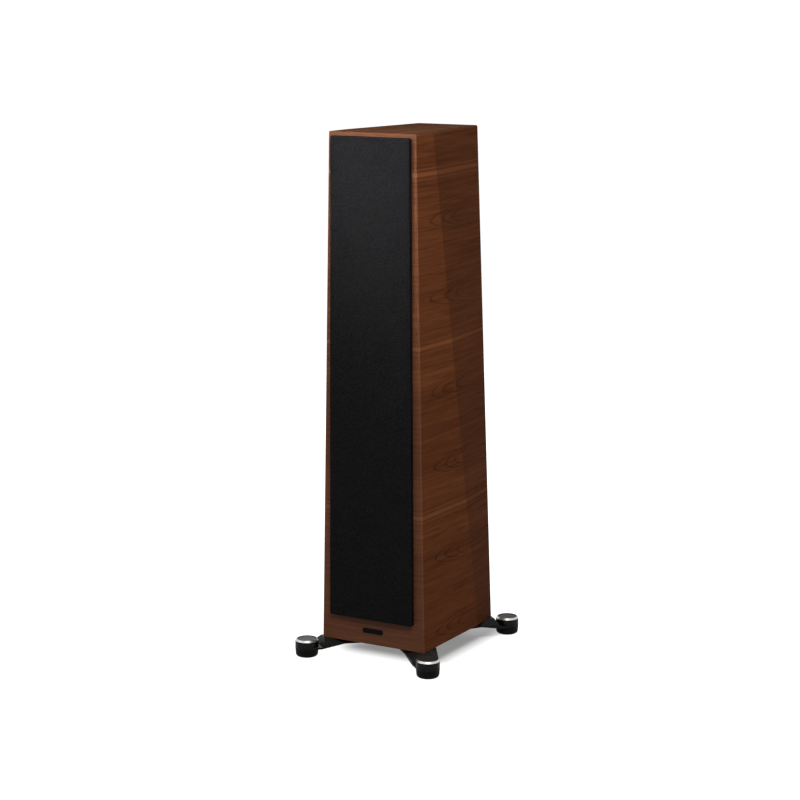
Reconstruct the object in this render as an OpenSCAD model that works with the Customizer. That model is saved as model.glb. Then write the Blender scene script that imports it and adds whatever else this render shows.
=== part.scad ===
// Floorstanding loudspeaker: a tapered, creased cabinet on outrigger feet, with a cloth grille over a
// tweeter, a midrange and two woofers. Millimetres, +Z up, +Y towards the rear, origin on the floor
// under the middle of the footprint.

/* [Cabinet] */
// Height of the cabinet without its feet
cabinet_h = 926; // [880:1:1000]
// Depth of the cabinet from front face to rear face
cabinet_d = 274; // [262:1:310]
// Width of the front face at its foot
front_w_bottom = 214; // [206:1:235]
// Width of the front face at the top
front_w_top = 177; // [174:1:198]
// Width of the rear face at its foot
rear_w_bottom = 197; // [186:1:204]
// Width of the rear face at the top
rear_w_top = 125; // [116:1:145]
// Distance from the front face to the side crease, at the top
crease_top = 61; // [40:1:90]
// Thickness of the side, top and rear panels
wall = 18; // [15:0.5:20]
// Thickness of the front baffle
baffle_t = 22; // [20:0.5:26]
// Thickness of the bottom panel
bottom_t = 22; // [18:0.5:28]
// Bevel on the visible outer edges
edge_bevel = 2; // [0.5:0.25:4]
// Thickness of the partitions and braces
brace_t = 12; // [9:0.5:15]
// Width of wood left round a brace window
brace_rim = 16; // [12:1:20]
// Thickness of the damping pads
pad_t = 20; // [10:1:26]
// Half width of the damping pads
pad_reach = 38; // [20:1:40]

/* [Badge] */
// Width of the badge plate
badge_w = 42; // [20:1:60]
// Height of the badge plate
badge_h = 9; // [6:0.5:14]
// Thickness of the badge plate
badge_t = 2; // [1.5:0.1:3]
// Height of the badge centre above the foot of the front face
badge_rise = 25; // [14:1:36]

/* [Grille] */
// Height of the grille
grille_h = 871; // [840:1:874]
// Width of the grille at the top
grille_w_top = 160; // [158:1:168]
// Width of the grille at its foot
grille_w_bottom = 172; // [170:1:196]
// Distance from the top of the cabinet down to the grille
grille_drop = 7; // [5:0.5:12]
// Depth of the grille frame
grille_t = 8.5; // [8:0.25:14]
// Thickness of the grille cloth
cloth_t = 0.8; // [0.5:0.1:1.2]
// Corner radius of the grille
grille_corner_r = 4; // [2:0.5:8]
// Width of the grille frame's rim
rim_w = 9; // [8.5:0.25:11]
// Width of the grille frame's cross bars
bar_w = 12; // [8:0.5:20]
// Diameter of the grille magnets
magnet_d = 6; // [4:0.5:6]
// Thickness of the grille magnets and of the discs that they hold to
magnet_t = 4; // [2:0.5:6]

/* [Tweeter] */
// Diameter of the tweeter faceplate
tweeter_flange_d = 104; // [100:1:112]
// Distance from the top of the cabinet down to the tweeter axis
tweeter_drop = 72; // [70:1:84]
// Diameter of the tweeter dome
dome_d = 25; // [20:0.5:28]
// Diameter of the tweeter magnet
tweeter_magnet_d = 72; // [60:1:76]
// Thickness of the tweeter magnet
tweeter_magnet_h = 12; // [8:1:20]

/* [Midrange] */
// Diameter of the midrange flange
midrange_flange_d = 130; // [126:1:136]
// Diameter of the midrange cone
midrange_cone_d = 80; // [70:1:82]
// Diameter of the midrange voice coil
midrange_coil_d = 26; // [20:1:32]
// Diameter of the midrange magnet
midrange_magnet_d = 80; // [70:1:86]
// Thickness of the midrange magnet
midrange_magnet_h = 13; // [10:1:20]
// Depth of the midrange basket
midrange_depth = 54; // [50:1:70]

/* [Woofers] */
// Diameter of the woofer flanges
woofer_flange_d = 148; // [142:1:150]
// Diameter of the woofer cones
woofer_cone_d = 92; // [80:1:96]
// Diameter of the woofer voice coils
woofer_coil_d = 33; // [25:1:38]
// Diameter of the woofer magnets
woofer_magnet_d = 90; // [80:1:100]
// Thickness of the woofer magnets
woofer_magnet_h = 15; // [11:1:24]
// Depth of the woofer baskets
woofer_depth = 64; // [58:1:80]

/* [Drivers] */
// Gap between neighbouring driver flanges
driver_gap = 12; // [12:0.5:16]
// Thickness of the driver flanges
flange_t = 5; // [4:0.25:6]
// Thickness of the driver gaskets
gasket_t = 1; // [0.5:0.25:2]
// Width of the surround's half roll
roll_w = 9; // [7:0.5:10]
// Width of the surround's glued lips
lip_w = 4.5; // [3:0.25:5]
// Wall of the driver baskets
basket_t = 2.5; // [2:0.25:3.5]
// Thickness of the driver motor plates
plate_t = 6; // [4:0.5:8]

/* [Port] */
// Inner diameter of the bass port
port_d = 68; // [50:1:72]
// Length of the bass port behind the rear face
port_len = 116; // [80:1:130]
// Wall of the bass port
port_wall = 3; // [2:0.25:4]
// Diameter of the port flange
port_flange_d = 100; // [92:1:110]
// Thickness of the port flange
port_flange_t = 4; // [2:0.5:6]
// Height of the port axis above the foot of the cabinet
port_rise = 396; // [392:1:400]

/* [Terminals] */
// Height of the terminals above the foot of the cabinet
terminal_rise = 116; // [80:1:124]
// Width of the terminal plate
terminal_w = 64; // [56:1:80]
// Height of the terminal plate
terminal_h = 84; // [60:1:90]
// Thickness of the terminal plate
terminal_t = 3; // [2:0.5:5]
// Spacing of the binding posts
post_spacing = 19; // [19:0.5:26]
// Diameter of the binding-post studs
stud_d = 8; // [7:0.25:9]
// Diameter of the socket in the end of each stud
socket_d = 4.1; // [4:0.05:4.4]
// Depth of the socket in the end of each stud
socket_depth = 16; // [10:0.5:17]
// Diameter of the binding-post knobs
post_knob_d = 17; // [15:0.25:18]
// Length of the binding-post knobs
post_knob_h = 15; // [12:0.5:18]
// Height of the collar under each clamp washer
collar_h = 3; // [2:0.5:5]
// Thickness of the clamp washers
washer_t = 1.5; // [1:0.25:2.5]

/* [Crossover] */
// Width of the crossover board
board_w = 104; // [96:1:116]
// Height of the crossover board
board_h = 92; // [88:1:100]
// Thickness of the crossover board
board_t = 2; // [1.5:0.25:3]
// Length of the spacers behind the crossover board
spacer_h = 10; // [6:0.5:12]
// Height of the crossover board's middle above the foot of the cabinet
board_rise = 232; // [226:1:236]
// Diameter of the internal leads
lead_d = 4; // [3:0.25:5]

/* [Base] */
// Clear height under the cabinet
floor_gap = 34; // [33:0.5:42]
// Spread of the front feet, centre to centre
front_foot_spread = 255; // [245:1:270]
// Spread of the rear feet, centre to centre
rear_foot_spread = 248; // [240:1:262]
// Distance of the front feet's centres ahead of the front face
front_foot_reach = 22.5; // [18:0.5:30]
// Distance of the rear feet's centres behind the rear face
rear_foot_reach = 17.5; // [14:0.5:26]
// Diameter of the feet
foot_d = 43; // [40:0.5:48]
// Heading of the arms, from the width axis
arm_heading = 49; // [44:0.5:52]
// Length of an arm from the foot's centre
arm_len = 104; // [102:1:114]
// Width of an arm at its inner end
arm_base_w = 68; // [56:1:76]
// Thickness of an arm under the cabinet
arm_t = 9.5; // [8:0.25:12]
// Thickness of an arm round its foot
boss_t = 3.5; // [3:0.25:6]
// Distance of the arm bolts from the foot's centre
bolt_reach = 90; // [88:0.5:92]
// Spacing of an arm's two bolts
bolt_spacing = 28; // [20:0.5:30]
// Diameter of the arm bolts
bolt_d = 6; // [5:0.25:7]
// Height of the foot glides
glide_h = 16; // [15:0.5:18]
// Height of the black skirt of the foot knobs
skirt_h = 8.5; // [6:0.25:9]
// Height of the bright cap of the foot knobs
cap_h = 5; // [4:0.25:5.5]
// Diameter of the foot screws' journals
journal_d = 14; // [13:0.25:16]
// Diameter of the foot screws' threads
thread_d = 12; // [11.5:0.25:12.5]
// Travel of the foot glides
glide_travel = 8; // [4:0.5:8]

/* [Clearances] */
// Running clearance of spindles, pins and threads, on the radius
run_gap = 0.05; // [0.02:0.01:0.1]
// Fitting clearance of screws, bolts and magnets, on the radius
fit_gap = 0.1; // [0.05:0.05:0.2]
// Clearance round flush-mounted pieces
seat_gap = 0.4; // [0.3:0.05:0.6]

/* [Hidden] */
$fn = 64;
small_fn = 32;

// Colours of the finishes
walnut = [0.38, 0.22, 0.14];
raw_board = [0.62, 0.48, 0.33];
satin_black = [0.09, 0.085, 0.08];
cloth_black = [0.1, 0.1, 0.105];
bright_metal = [0.75, 0.75, 0.76];
dark_steel = [0.3, 0.3, 0.32];
cone_grey = [0.45, 0.46, 0.48];
copper = [0.7, 0.4, 0.2];

// Main planes of the cabinet
foot_y = (cabinet_d + front_foot_reach + rear_foot_reach) / 2;
front_y = front_foot_reach - foot_y;
rear_y = front_y + cabinet_d;
bottom_z = floor_gap;
top_z = floor_gap + cabinet_h;
inner_front_y = front_y + baffle_t;
inner_rear_y = rear_y - wall;
inner_bottom_z = bottom_z + bottom_t;
inner_top_z = top_z - wall;
reach = 2 * (cabinet_h + cabinet_d);

// Lean of the front facets, and lean and flare of the rear facets, as slopes of the half width
front_lean = (front_w_bottom - front_w_top) / 2 / cabinet_h;
rear_lean = (rear_w_bottom - rear_w_top) / 2 / cabinet_h;
rear_flare = (front_w_top - rear_w_top) / 2 / (cabinet_d - crease_top);
front_normal = [1, 0, front_lean];
rear_normal = [1, rear_flare, rear_lean];
front_wall_x = wall * norm(front_normal);
rear_wall_x = wall * norm(rear_normal);
front_foot_corner = [front_w_bottom / 2, front_y, bottom_z];
rear_foot_corner = [rear_w_bottom / 2, rear_y, bottom_z];
front_top_corner = [front_w_top / 2, front_y, top_z];
rear_top_corner = [rear_w_top / 2, rear_y, top_z];

// Driver places, from the top down
tweeter_r = tweeter_flange_d / 2;
tweeter_z = top_z - tweeter_drop;
midrange_z = tweeter_z - tweeter_r - driver_gap - midrange_flange_d / 2;
upper_woofer_z = midrange_z - midrange_flange_d / 2 - driver_gap - woofer_flange_d / 2;
lower_woofer_z = upper_woofer_z - woofer_flange_d - driver_gap;
upper_partition_z = tweeter_z - tweeter_r - driver_gap / 2;
lower_partition_z = midrange_z - midrange_flange_d / 2 - driver_gap / 2;
woofer_brace_z = (upper_woofer_z + lower_woofer_z) / 2;
lower_brace_rise = 300;
lower_brace_z = bottom_z + lower_brace_rise;

// Driver sizes: flange, cone, coil and magnet radius, basket depth, magnet thickness
midrange = [midrange_flange_d / 2, midrange_cone_d / 2, midrange_coil_d / 2, midrange_magnet_d / 2,
    midrange_depth, midrange_magnet_h];
woofer = [woofer_flange_d / 2, woofer_cone_d / 2, woofer_coil_d / 2, woofer_magnet_d / 2,
    woofer_depth, woofer_magnet_h];
function flange_r(d) = d[0];
function cone_r(d) = d[1];
function coil_r(d) = d[2];
function magnet_r(d) = d[3];
function depth(d) = d[4];
function magnet_h(d) = d[5];
function seat_r(d) = cone_r(d) + roll_w;
function ledge_r(d) = seat_r(d) + lip_w + seat_gap;
function basket_r(d) = seat_r(d) + cage_inset;
function cutout_r(d) = basket_r(d) + cutout_gap;
function rear_ring_r(d) = magnet_r(d) - rear_ring_inset;
function rear_ring_z(d) = depth(d) - rear_ring_t;
function spider_z(d) = rear_ring_z(d) - spider_lift;
function cage_r(d, z) =
    basket_r(d) + (rear_ring_r(d) - basket_r(d)) * (z - cage_z) / (rear_ring_z(d) - cage_z);
function cone_z(d, r) = ledge_z + (cone_r(d) - lip_w - r) * cone_slope;
function tab_r(d) = magnet_r(d) + tab_offset;

// Details of the cone drivers
ledge_z = 2;
cage_z = 12;
rear_ring_t = 4;
spider_lift = 14;
spider_t = 0.6;
spider_ledge_w = 4;
cone_t = 1.2;
cone_slope = 0.75;
roll_skin = 0.8;
lip_t = 1;
former_t = 0.5;
winding_t = 0.8;
winding_over = 3;
former_over = 4;
pole_gap = 1.0;
plate_gap = 1.4;
dust_cap_over = 3;
dust_cap_h = 5;
window_count = 6;
tab_offset = 4;
tab_w = 8;
tab_root = 2;
tab_over = 3;
cage_inset = 3.5;
rear_ring_inset = 2;
cutout_gap = 1.5;
coil_clear = 2.4;
window_front = 3;
window_rear = 5;
motor_plate_inset = 3;
magnet_bore = 5;
spider_wave = 1.5;
spider_waves = 10;
flange_screws = 6;
screw_inset = 5.5;
gasket_inset = 0.3;

// Details of the tweeter
tweeter_screws = 4;
tweeter_body_r = 40;
waveguide_r = 38;
waveguide_z = 10;
tweeter_body_z = 13;
roll_pocket_z = 11;
dome_h = 6;
dome_roll_w = 4;
dome_roll_h = 1.2;
dome_lip_w = 3;
dome_t = 0.5;
dome_lift = 0.4;
throat_gap = 1.5;
roll_gap = 1;
dome_former_t = 0.5;
dome_former_gap = 0.7;
dome_r = dome_d / 2;
throat_r = dome_r + throat_gap;
dome_former_r = dome_r - 0.1;
roll_pocket_r = dome_r + dome_roll_w + roll_gap;
dome_lip_z = tweeter_body_z + dome_lift;
tweeter_gap_z = dome_lip_z + dome_t + dome_lift;
tweeter_cutout_r = tweeter_body_r + cutout_gap;
tweeter_magnet_r = tweeter_magnet_d / 2;
tweeter_back_z = tweeter_gap_z + 2 * plate_t + tweeter_magnet_h;

// Wood screws
screw_d = 3.8;
screw_head_d = 7.2;
screw_head_h = 2.4;
screw_sink = 0.2;
screw_len = 18;
screw_hex_d = 4;

// Grille outline, in the front view
grille_top_z = top_z - grille_drop;
grille_bottom_z = grille_top_z - grille_h;
bar_zs = [lower_woofer_z - woofer_flange_d / 2 - bar_w / 2, lower_partition_z];
function grille_half(z) =
    grille_w_bottom / 2 - (grille_w_bottom - grille_w_top) / 2 * (z - grille_bottom_z) / grille_h;
magnet_zs = concat([grille_bottom_z + rim_w / 2], bar_zs, [grille_top_z - rim_w / 2]);
magnet_places = [for (z = magnet_zs, s = [-1, 1]) [s * (grille_half(z) - rim_w / 2), z]];

// Terminal places; their local frame starts at the plate's outer face and points to the rear
terminal_z = bottom_z + terminal_rise;
post_x = post_spacing / 2;
stud_r = stud_d / 2;
stud_inner = 22;
stud_nut_d = 14;
stud_nut_h = 5;
stud_tip = 1;
stud_outer = collar_h + washer_t + post_knob_h + stud_tip;
terminal_screw_inset = 6;
terminal_corner_r = 5;
flutes = 12;
flute_r = 0.9;
flute_offset = 0.3;
flute_rise = 3;
knob_foot_bevel = 0.6;
knob_top_bevel = 1.5;
terminal_hole_w = 44;
terminal_hole_h = 30;

// Flare of the port's mouth, inside a flat land
port_land = 4;
port_edge = 1;
flare_w = (port_flange_d - port_d) / 2 - port_land;
flare_depth = 18;

// Crossover board's faces, parts and spacers
spacer_d = 8;
spacer_inset = 6;
coil_h = 18;
large_coil_r = 18;
small_coil_r = 15;
coil_bore_r = 6.5;
coil_x = 26;
large_coil_z = 8;
small_coil_z = -24;
capacitor_h = 32;
large_capacitor_r = 9;
small_capacitor_r = 8;
capacitor_x = 38;
large_capacitor_z = -24;
small_capacitor_z = 22;
board_back_y = inner_rear_y - spacer_h;
board_front_y = board_back_y - board_t;
board_z = bottom_z + board_rise;

// Leads: hand-chosen points on the way, between ends that follow their pieces
port_z = bottom_z + port_rise;
woofer_tab_y = front_y + woofer_depth;
midrange_tab_y = front_y + midrange_depth;
tweeter_tab_y = front_y + tweeter_back_z;
lead_inset_h = 7;
lead_top_z = board_z + board_h / 2 - lead_inset_h;
lead_low_z = board_z - board_h / 2 + lead_inset_h;
stud_end_y = rear_y + terminal_t - stud_inner;
partition_hole_y = 60;
midrange_lead_x = 40;
tweeter_lead_x = -32;
lead_hole_r = lead_d / 2 + seat_gap;
leads = [
    [[-post_x, stud_end_y, terminal_z], [-post_x, 104, terminal_z], [-14, 92, 166], [-24, 88, 200],
        [-30, 94, lead_low_z], [-30, board_front_y, lead_low_z]],
    [[post_x, stud_end_y, terminal_z], [post_x, 104, terminal_z], [14, 92, 166], [24, 88, 200],
        [30, 94, lead_low_z], [30, board_front_y, lead_low_z]],
    [[46, board_front_y, lead_top_z], [46, 94, lead_top_z], [46, 80, 330], [50, 40, 400], [50, -10, 438],
        [tab_r(woofer), -45, lower_woofer_z], [tab_r(woofer), woofer_tab_y, lower_woofer_z]],
    [[-46, board_front_y, lead_top_z], [-46, 94, lead_top_z], [-46, 86, 330], [-52, 84, 430],
        [-46, 74, 528], [-50, 10, 590], [-tab_r(woofer), -45, upper_woofer_z],
        [-tab_r(woofer), woofer_tab_y, upper_woofer_z]],
    [[24, board_front_y, lead_top_z], [24, 94, lead_top_z], [32, 66, 335], [54, 62, 430], [42, 60, 528],
        [midrange_lead_x, partition_hole_y, 640], [midrange_lead_x, partition_hole_y, lower_partition_z],
        [midrange_lead_x, partition_hole_y, 712], [44, 20, 750],
        [tab_r(midrange), -40, midrange_z], [tab_r(midrange), midrange_tab_y, midrange_z]],
    [[-24, board_front_y, lead_top_z], [-24, 94, lead_top_z], [-32, 58, 335], [-52, 56, 430],
        [-36, 56, 528], [tweeter_lead_x, partition_hole_y, 640],
        [tweeter_lead_x, partition_hole_y, lower_partition_z], [tweeter_lead_x, partition_hole_y, 760],
        [tweeter_lead_x, partition_hole_y, upper_partition_z], [tweeter_lead_x, partition_hole_y, 858],
        [-20, 10, 884], [-10, -60, tweeter_z], [-10, tweeter_tab_y, tweeter_z]]
];

// Feet
foot_r = foot_d / 2;
boss_top_z = glide_h + boss_t;
skirt_top_z = boss_top_z + skirt_h;
cap_top_z = skirt_top_z + cap_h;
groove_d = 10.6;
clip_t = 1.6;
clip_d = 19;
clip_gap = 0.2;
clip_pocket_h = clip_t + 4 * clip_gap + 0.4;
key_d = 4.1;
key_offset = 14;
key_overlap = 4;
key_floor = glide_h - glide_travel - key_overlap;
screw_floor = key_floor - 0.5;
dish_depth = 0.8;
dish_edge = 4.2;
cap_chamfer = 3;
ring_groove = 0.4;
glide_taper = 0.8;
glide_round = 6;
arm_corner_r = 8;
bolt_head_d = 10;
bolt_head_h = 5;
bolt_end_gap = 4;
bolt_len = bottom_t - bolt_end_gap;
boss_ramp = 1.5;
ramp_len = 9;
under_ramp_len = 42;
ridge_half_w = 10;
ridge_end_half_w = 27;
ridge_len = arm_len - foot_r - ramp_len;
flank_w = 15;
flank_h = 9;
flank_top = [foot_r + ramp_len, ridge_half_w, bottom_z];
flank_normal = [-(ridge_end_half_w - ridge_half_w) * flank_h, ridge_len * flank_h, ridge_len * flank_w];

// Half space on the inner side of a plane through point, with normal pointing out
module half_space(point, normal)
    translate(point)
        rotate([0, acos(normal.z / norm(normal)), atan2(normal.y, normal.x)])
            translate([-reach, -reach, -2 * reach])
                cube(2 * reach);

// Keeps what lies inside a shape and its mirror image
module inside_both() intersection() {
    children();
    mirror([1, 0, 0]) children();
}

// Outer faces of the right side: front facet and rear facet
module right_outer() intersection() {
    half_space(front_foot_corner, front_normal);
    half_space(rear_foot_corner, rear_normal);
}

// Inner faces of the right side panel
module right_inner() intersection() {
    half_space(front_foot_corner - [front_wall_x, 0, 0], front_normal);
    half_space(rear_foot_corner - [rear_wall_x, 0, 0], rear_normal);
}

// Baffle's side of the mitre between baffle and right side panel
module front_mitre() half_space(front_foot_corner, [baffle_t, front_wall_x, baffle_t * front_lean]);

// Baffle's side of the mitre between baffle and top panel
module top_front_mitre() half_space([0, front_y, top_z], [0, wall, baffle_t]);

// Top panel's side of the mitres between top panel and right side panel
module top_mitre() intersection() {
    half_space(front_top_corner, [wall, 0, front_lean * wall - front_wall_x]);
    half_space(rear_top_corner, [wall, rear_flare * wall, rear_lean * wall - rear_wall_x]);
}

// Bevels along the front, top and side edges on the right
module right_bevels() intersection() {
    half_space(front_foot_corner - [edge_bevel, 0, 0], [1, -1, front_lean]);
    half_space(front_top_corner - [edge_bevel, 0, 0], [1, 0, 1]);
    half_space(rear_top_corner - [edge_bevel, 0, 0], [1, rear_flare, 1]);
    half_space([0, front_y + edge_bevel, top_z], [0, -1, 1]);
}

// Layer of the whole outer width between two heights and two depths
module layer(y0, y1, z0, z1)
    translate([-reach, y0, z0]) cube([2 * reach, y1 - y0, z1 - z0]);

// Piece of the inner space between two heights
module inner_layer(z0, z1) intersection() {
    layer(inner_front_y, inner_rear_y, z0, z1);
    inside_both() right_inner();
}

// Places a driver: its local Z runs from the front face to the rear
module at_driver(z) translate([0, front_y, z]) rotate([-90, 0, 0]) children();

// Repeats its children round a driver's axis
module ring(count, radius, start = 0)
    for (i = [0 : count - 1])
        rotate(start + 360 * i / count) translate([radius, 0, 0]) children();

// Spins a profile given as [radius, height] points
module turned(profile) rotate_extrude() polygon(profile);

// Repeats its children at a cone driver's flange screws
module flange_screw_ring(d)
    ring(flange_screws, flange_r(d) - screw_inset, 180 / flange_screws) children();

// Wood screw, its head's top just under the surface it is driven into
module wood_screw() difference() {
    translate([0, 0, screw_sink]) {
        cylinder(d = screw_head_d, h = screw_head_h, $fn = small_fn);
        cylinder(d = screw_d, h = screw_len - screw_sink, $fn = small_fn);
    }
    cylinder(d = screw_hex_d, h = screw_sink + screw_head_h / 2, $fn = 6);
}

// Hole and counterbore for a wood screw in the plate that it holds
module screw_seat(plate) {
    translate([0, 0, -1]) cylinder(d = screw_d + 4 * fit_gap, h = plate + 2, $fn = small_fn);
    translate([0, 0, -1])
        cylinder(d = screw_head_d + 2 * seat_gap, h = 1 + screw_sink + screw_head_h, $fn = small_fn);
}

// Pilot hole for a wood screw in the wood behind the plate
module pilot_hole() cylinder(d = screw_d + 2 * fit_gap, h = screw_len + 0.5, $fn = small_fn);

// Recess, cut-out and pilot holes of one driver in the baffle
module driver_hole(flange, cutout, screws) {
    translate([0, 0, -1]) cylinder(r = flange + seat_gap, h = 1 + flange_t + gasket_t);
    translate([0, 0, -1]) cylinder(r = cutout, h = baffle_t + 2);
    ring(screws, flange - screw_inset, 180 / screws) pilot_hole();
}

module cone_driver_hole(d) driver_hole(flange_r(d), cutout_r(d), flange_screws);

// Rounded plate in the front view, standing on local Z
module rounded_plate(w, h, r, t)
    linear_extrude(t)
        hull()
            for (x = [-1, 1], y = [-1, 1])
                translate([x * (w / 2 - r), y * (h / 2 - r)]) circle(r, $fn = small_fn);

// Front-view outline of the grille, drawn in by inset, from the baffle forwards
module grille_block(inset, t)
    translate([0, front_y, 0])
        rotate([90, 0, 0])
            linear_extrude(t)
                hull()
                    for (s = [-1, 1], z = [grille_bottom_z + grille_corner_r, grille_top_z - grille_corner_r])
                        translate([s * (grille_half(z) - grille_corner_r), z])
                            circle(grille_corner_r - inset, $fn = small_fn);

module front_baffle() color(walnut) difference() {
    intersection() {
        layer(front_y, inner_front_y, bottom_z, top_z);
        inside_both() right_outer();
        inside_both() front_mitre();
        inside_both() right_bevels();
        top_front_mitre();
    }
    at_driver(tweeter_z) driver_hole(tweeter_r, tweeter_cutout_r, tweeter_screws);
    at_driver(midrange_z) cone_driver_hole(midrange);
    at_driver(upper_woofer_z) cone_driver_hole(woofer);
    at_driver(lower_woofer_z) cone_driver_hole(woofer);
    for (p = magnet_places)
        at_driver(p.y) translate([p.x, 0, -1]) cylinder(d = magnet_d + 2 * fit_gap, h = 1 + magnet_t);
    at_driver(bottom_z + badge_rise)
        translate([0, 0, -1])
            rounded_plate(badge_w + 2 * fit_gap, badge_h + 2 * fit_gap, badge_h / 3, 1 + badge_t / 2);
}

// Right side panel: a bent wall, mitred to the baffle and the top panel
module side_panel() difference() {
    intersection() {
        translate([0, front_y, bottom_z]) cube([reach, cabinet_d, cabinet_h]);
        right_outer();
        right_bevels();
    }
    right_inner();
    front_mitre();
    top_mitre();
}

module right_side_panel() color(walnut) side_panel();

module left_side_panel() color(walnut) mirror([1, 0, 0]) side_panel();

module top_panel() color(walnut) difference() {
    intersection() {
        layer(front_y, rear_y, inner_top_z, top_z);
        inside_both() right_outer();
        inside_both() top_mitre();
        inside_both() right_bevels();
    }
    top_front_mitre();
}

module bottom_panel() color(raw_board) difference() {
    inner_layer(bottom_z, inner_bottom_z);
    all_corners() arm_bolt_places() translate([0, 0, bottom_z - 1])
        cylinder(d = bolt_d + 2 * fit_gap, h = bolt_len + 2, $fn = small_fn);
}

module rear_panel() color(walnut) difference() {
    intersection() {
        layer(inner_rear_y, rear_y, bottom_z, inner_top_z);
        inside_both() right_inner();
    }
    translate([0, inner_rear_y - 1, port_z])
        rotate([-90, 0, 0]) cylinder(d = port_d + 2 * port_wall + 2 * fit_gap, h = wall + 2);
    translate([-terminal_hole_w / 2, inner_rear_y - 1, terminal_z - terminal_hole_h / 2])
        cube([terminal_hole_w, wall + 2, terminal_hole_h]);
    at_terminal_screws() pilot_hole();
}

// Closed boards above and below the midrange chamber, with a hole for each lead
module chamber_partitions() color(raw_board) {
    difference() {
        inner_layer(upper_partition_z - brace_t / 2, upper_partition_z + brace_t / 2);
        lead_hole(tweeter_lead_x, upper_partition_z);
    }
    difference() {
        inner_layer(lower_partition_z - brace_t / 2, lower_partition_z + brace_t / 2);
        lead_hole(tweeter_lead_x, lower_partition_z);
        lead_hole(midrange_lead_x, lower_partition_z);
    }
}

module lead_hole(x, z)
    translate([x, partition_hole_y, z - brace_t]) cylinder(r = lead_hole_r, h = 2 * brace_t, $fn = small_fn);

// Window braces between the woofers and below them
module window_braces() color(raw_board)
    for (z = [lower_brace_z, woofer_brace_z])
        difference() {
            inner_layer(z - brace_t / 2, z + brace_t / 2);
            intersection() {
                layer(inner_front_y + brace_rim, inner_rear_y - brace_rim, z - brace_t, z + brace_t);
                inside_both() translate([-brace_rim, 0, 0]) right_inner();
            }
        }

// Damping pads on the rear panel of each chamber
module damping_pads() color([0.75, 0.74, 0.7])
    difference() {
        for (span = [[lower_brace_z, woofer_brace_z], [woofer_brace_z, lower_partition_z],
                [lower_partition_z, upper_partition_z]])
            translate([-pad_reach, inner_rear_y - pad_t, span[0] + brace_t / 2])
                cube([2 * pad_reach, pad_t, span[1] - span[0] - brace_t]);
        translate([0, inner_rear_y - pad_t - 1, port_z])
            rotate([-90, 0, 0]) cylinder(r = port_d / 2 + port_wall + seat_gap, h = pad_t + 2);
    }

// Bass port with a flared mouth; local Z points out of the rear panel
module port_tube() color(satin_black)
    translate([0, rear_y, port_z]) rotate([-90, 0, 0]) turned(concat(
        [[port_d / 2, -port_len], [port_d / 2 + port_wall, -port_len], [port_d / 2 + port_wall, 0],
            [port_flange_d / 2, 0], [port_flange_d / 2, port_flange_t - port_edge],
            [port_flange_d / 2 - port_edge, port_flange_t]],
        [for (a = [0 : 15 : 90]) port_flare(a)]
    ));

// Point on the quarter-ellipse flare of the port's mouth
function port_flare(a) = [port_d / 2 + flare_w * (1 - sin(a)), port_flange_t - flare_depth * (1 - cos(a))];

module badge_plate() color(satin_black)
    at_driver(bottom_z + badge_rise)
        translate([0, 0, -badge_t / 2]) rounded_plate(badge_w, badge_h, badge_h / 3, badge_t);

module grille_frame() color(satin_black) difference() {
    grille_block(cloth_t, grille_t);
    for (i = [0 : len(bar_zs)])
        grille_window(
            i == 0 ? grille_bottom_z + rim_w : bar_zs[i - 1] + bar_w / 2,
            i == len(bar_zs) ? grille_top_z - rim_w : bar_zs[i] - bar_w / 2
        );
    for (p = magnet_places)
        at_driver(p.y) translate([p.x, 0, -magnet_t]) cylinder(d = magnet_d + 2 * fit_gap, h = magnet_t + 1);
}

// One window of the grille frame, between two heights
module grille_window(z0, z1)
    translate([0, front_y + 1, 0])
        rotate([90, 0, 0])
            linear_extrude(grille_t + 2)
                polygon([
                    [-(grille_half(z0) - rim_w), z0], [grille_half(z0) - rim_w, z0],
                    [grille_half(z1) - rim_w, z1], [-(grille_half(z1) - rim_w), z1]
                ]);

// Cloth drawn over the frame's front and edges
module grille_cloth() color(cloth_black) difference() {
    grille_block(0, grille_t + cloth_t);
    translate([0, 1, 0]) grille_block(cloth_t, grille_t + 1);
}

module grille_magnets() color(dark_steel)
    for (p = magnet_places)
        at_driver(p.y) translate([p.x, 0, -magnet_t]) cylinder(d = magnet_d, h = magnet_t);

module baffle_magnets() color(dark_steel)
    for (p = magnet_places)
        at_driver(p.y) translate([p.x, 0, 0]) cylinder(d = magnet_d, h = magnet_t);

module tweeter_faceplate() color(satin_black) at_driver(tweeter_z) difference() {
    turned(concat(
        [[tweeter_r, 0], [tweeter_r, flange_t], [tweeter_body_r, flange_t], [tweeter_body_r, tweeter_body_z],
            [roll_pocket_r, tweeter_body_z], [roll_pocket_r, roll_pocket_z], [throat_r, roll_pocket_z]],
        [for (t = [0 : 0.125 : 1]) [throat_r + (waveguide_r - throat_r) * t, waveguide_z * pow(1 - t, 2)]]
    ));
    ring(tweeter_screws, tweeter_r - screw_inset, 180 / tweeter_screws) screw_seat(flange_t);
}

// Front line of the dome and its half-roll edge
function dome_line(shift) = concat(
    [for (t = [0 : 0.125 : 1]) [dome_r * t, dome_lip_z - dome_h * (1 - t * t) + shift]],
    [for (t = [0.25 : 0.25 : 1]) [dome_r + dome_roll_w * t, dome_lip_z - dome_roll_h * sin(180 * t) + shift]],
    [[dome_r + dome_roll_w + dome_lip_w, dome_lip_z + shift]]
);
function reversed(list) = [for (i = [len(list) - 1 : -1 : 0]) list[i]];

module tweeter_dome() color(cone_grey) at_driver(tweeter_z) {
    turned(concat(dome_line(0), reversed(dome_line(dome_t))));
    translate([0, 0, dome_lip_z]) difference() {
        cylinder(r = dome_former_r + dome_former_t, h = plate_t);
        translate([0, 0, -1]) cylinder(r = dome_former_r, h = plate_t + 2);
    }
}

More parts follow.
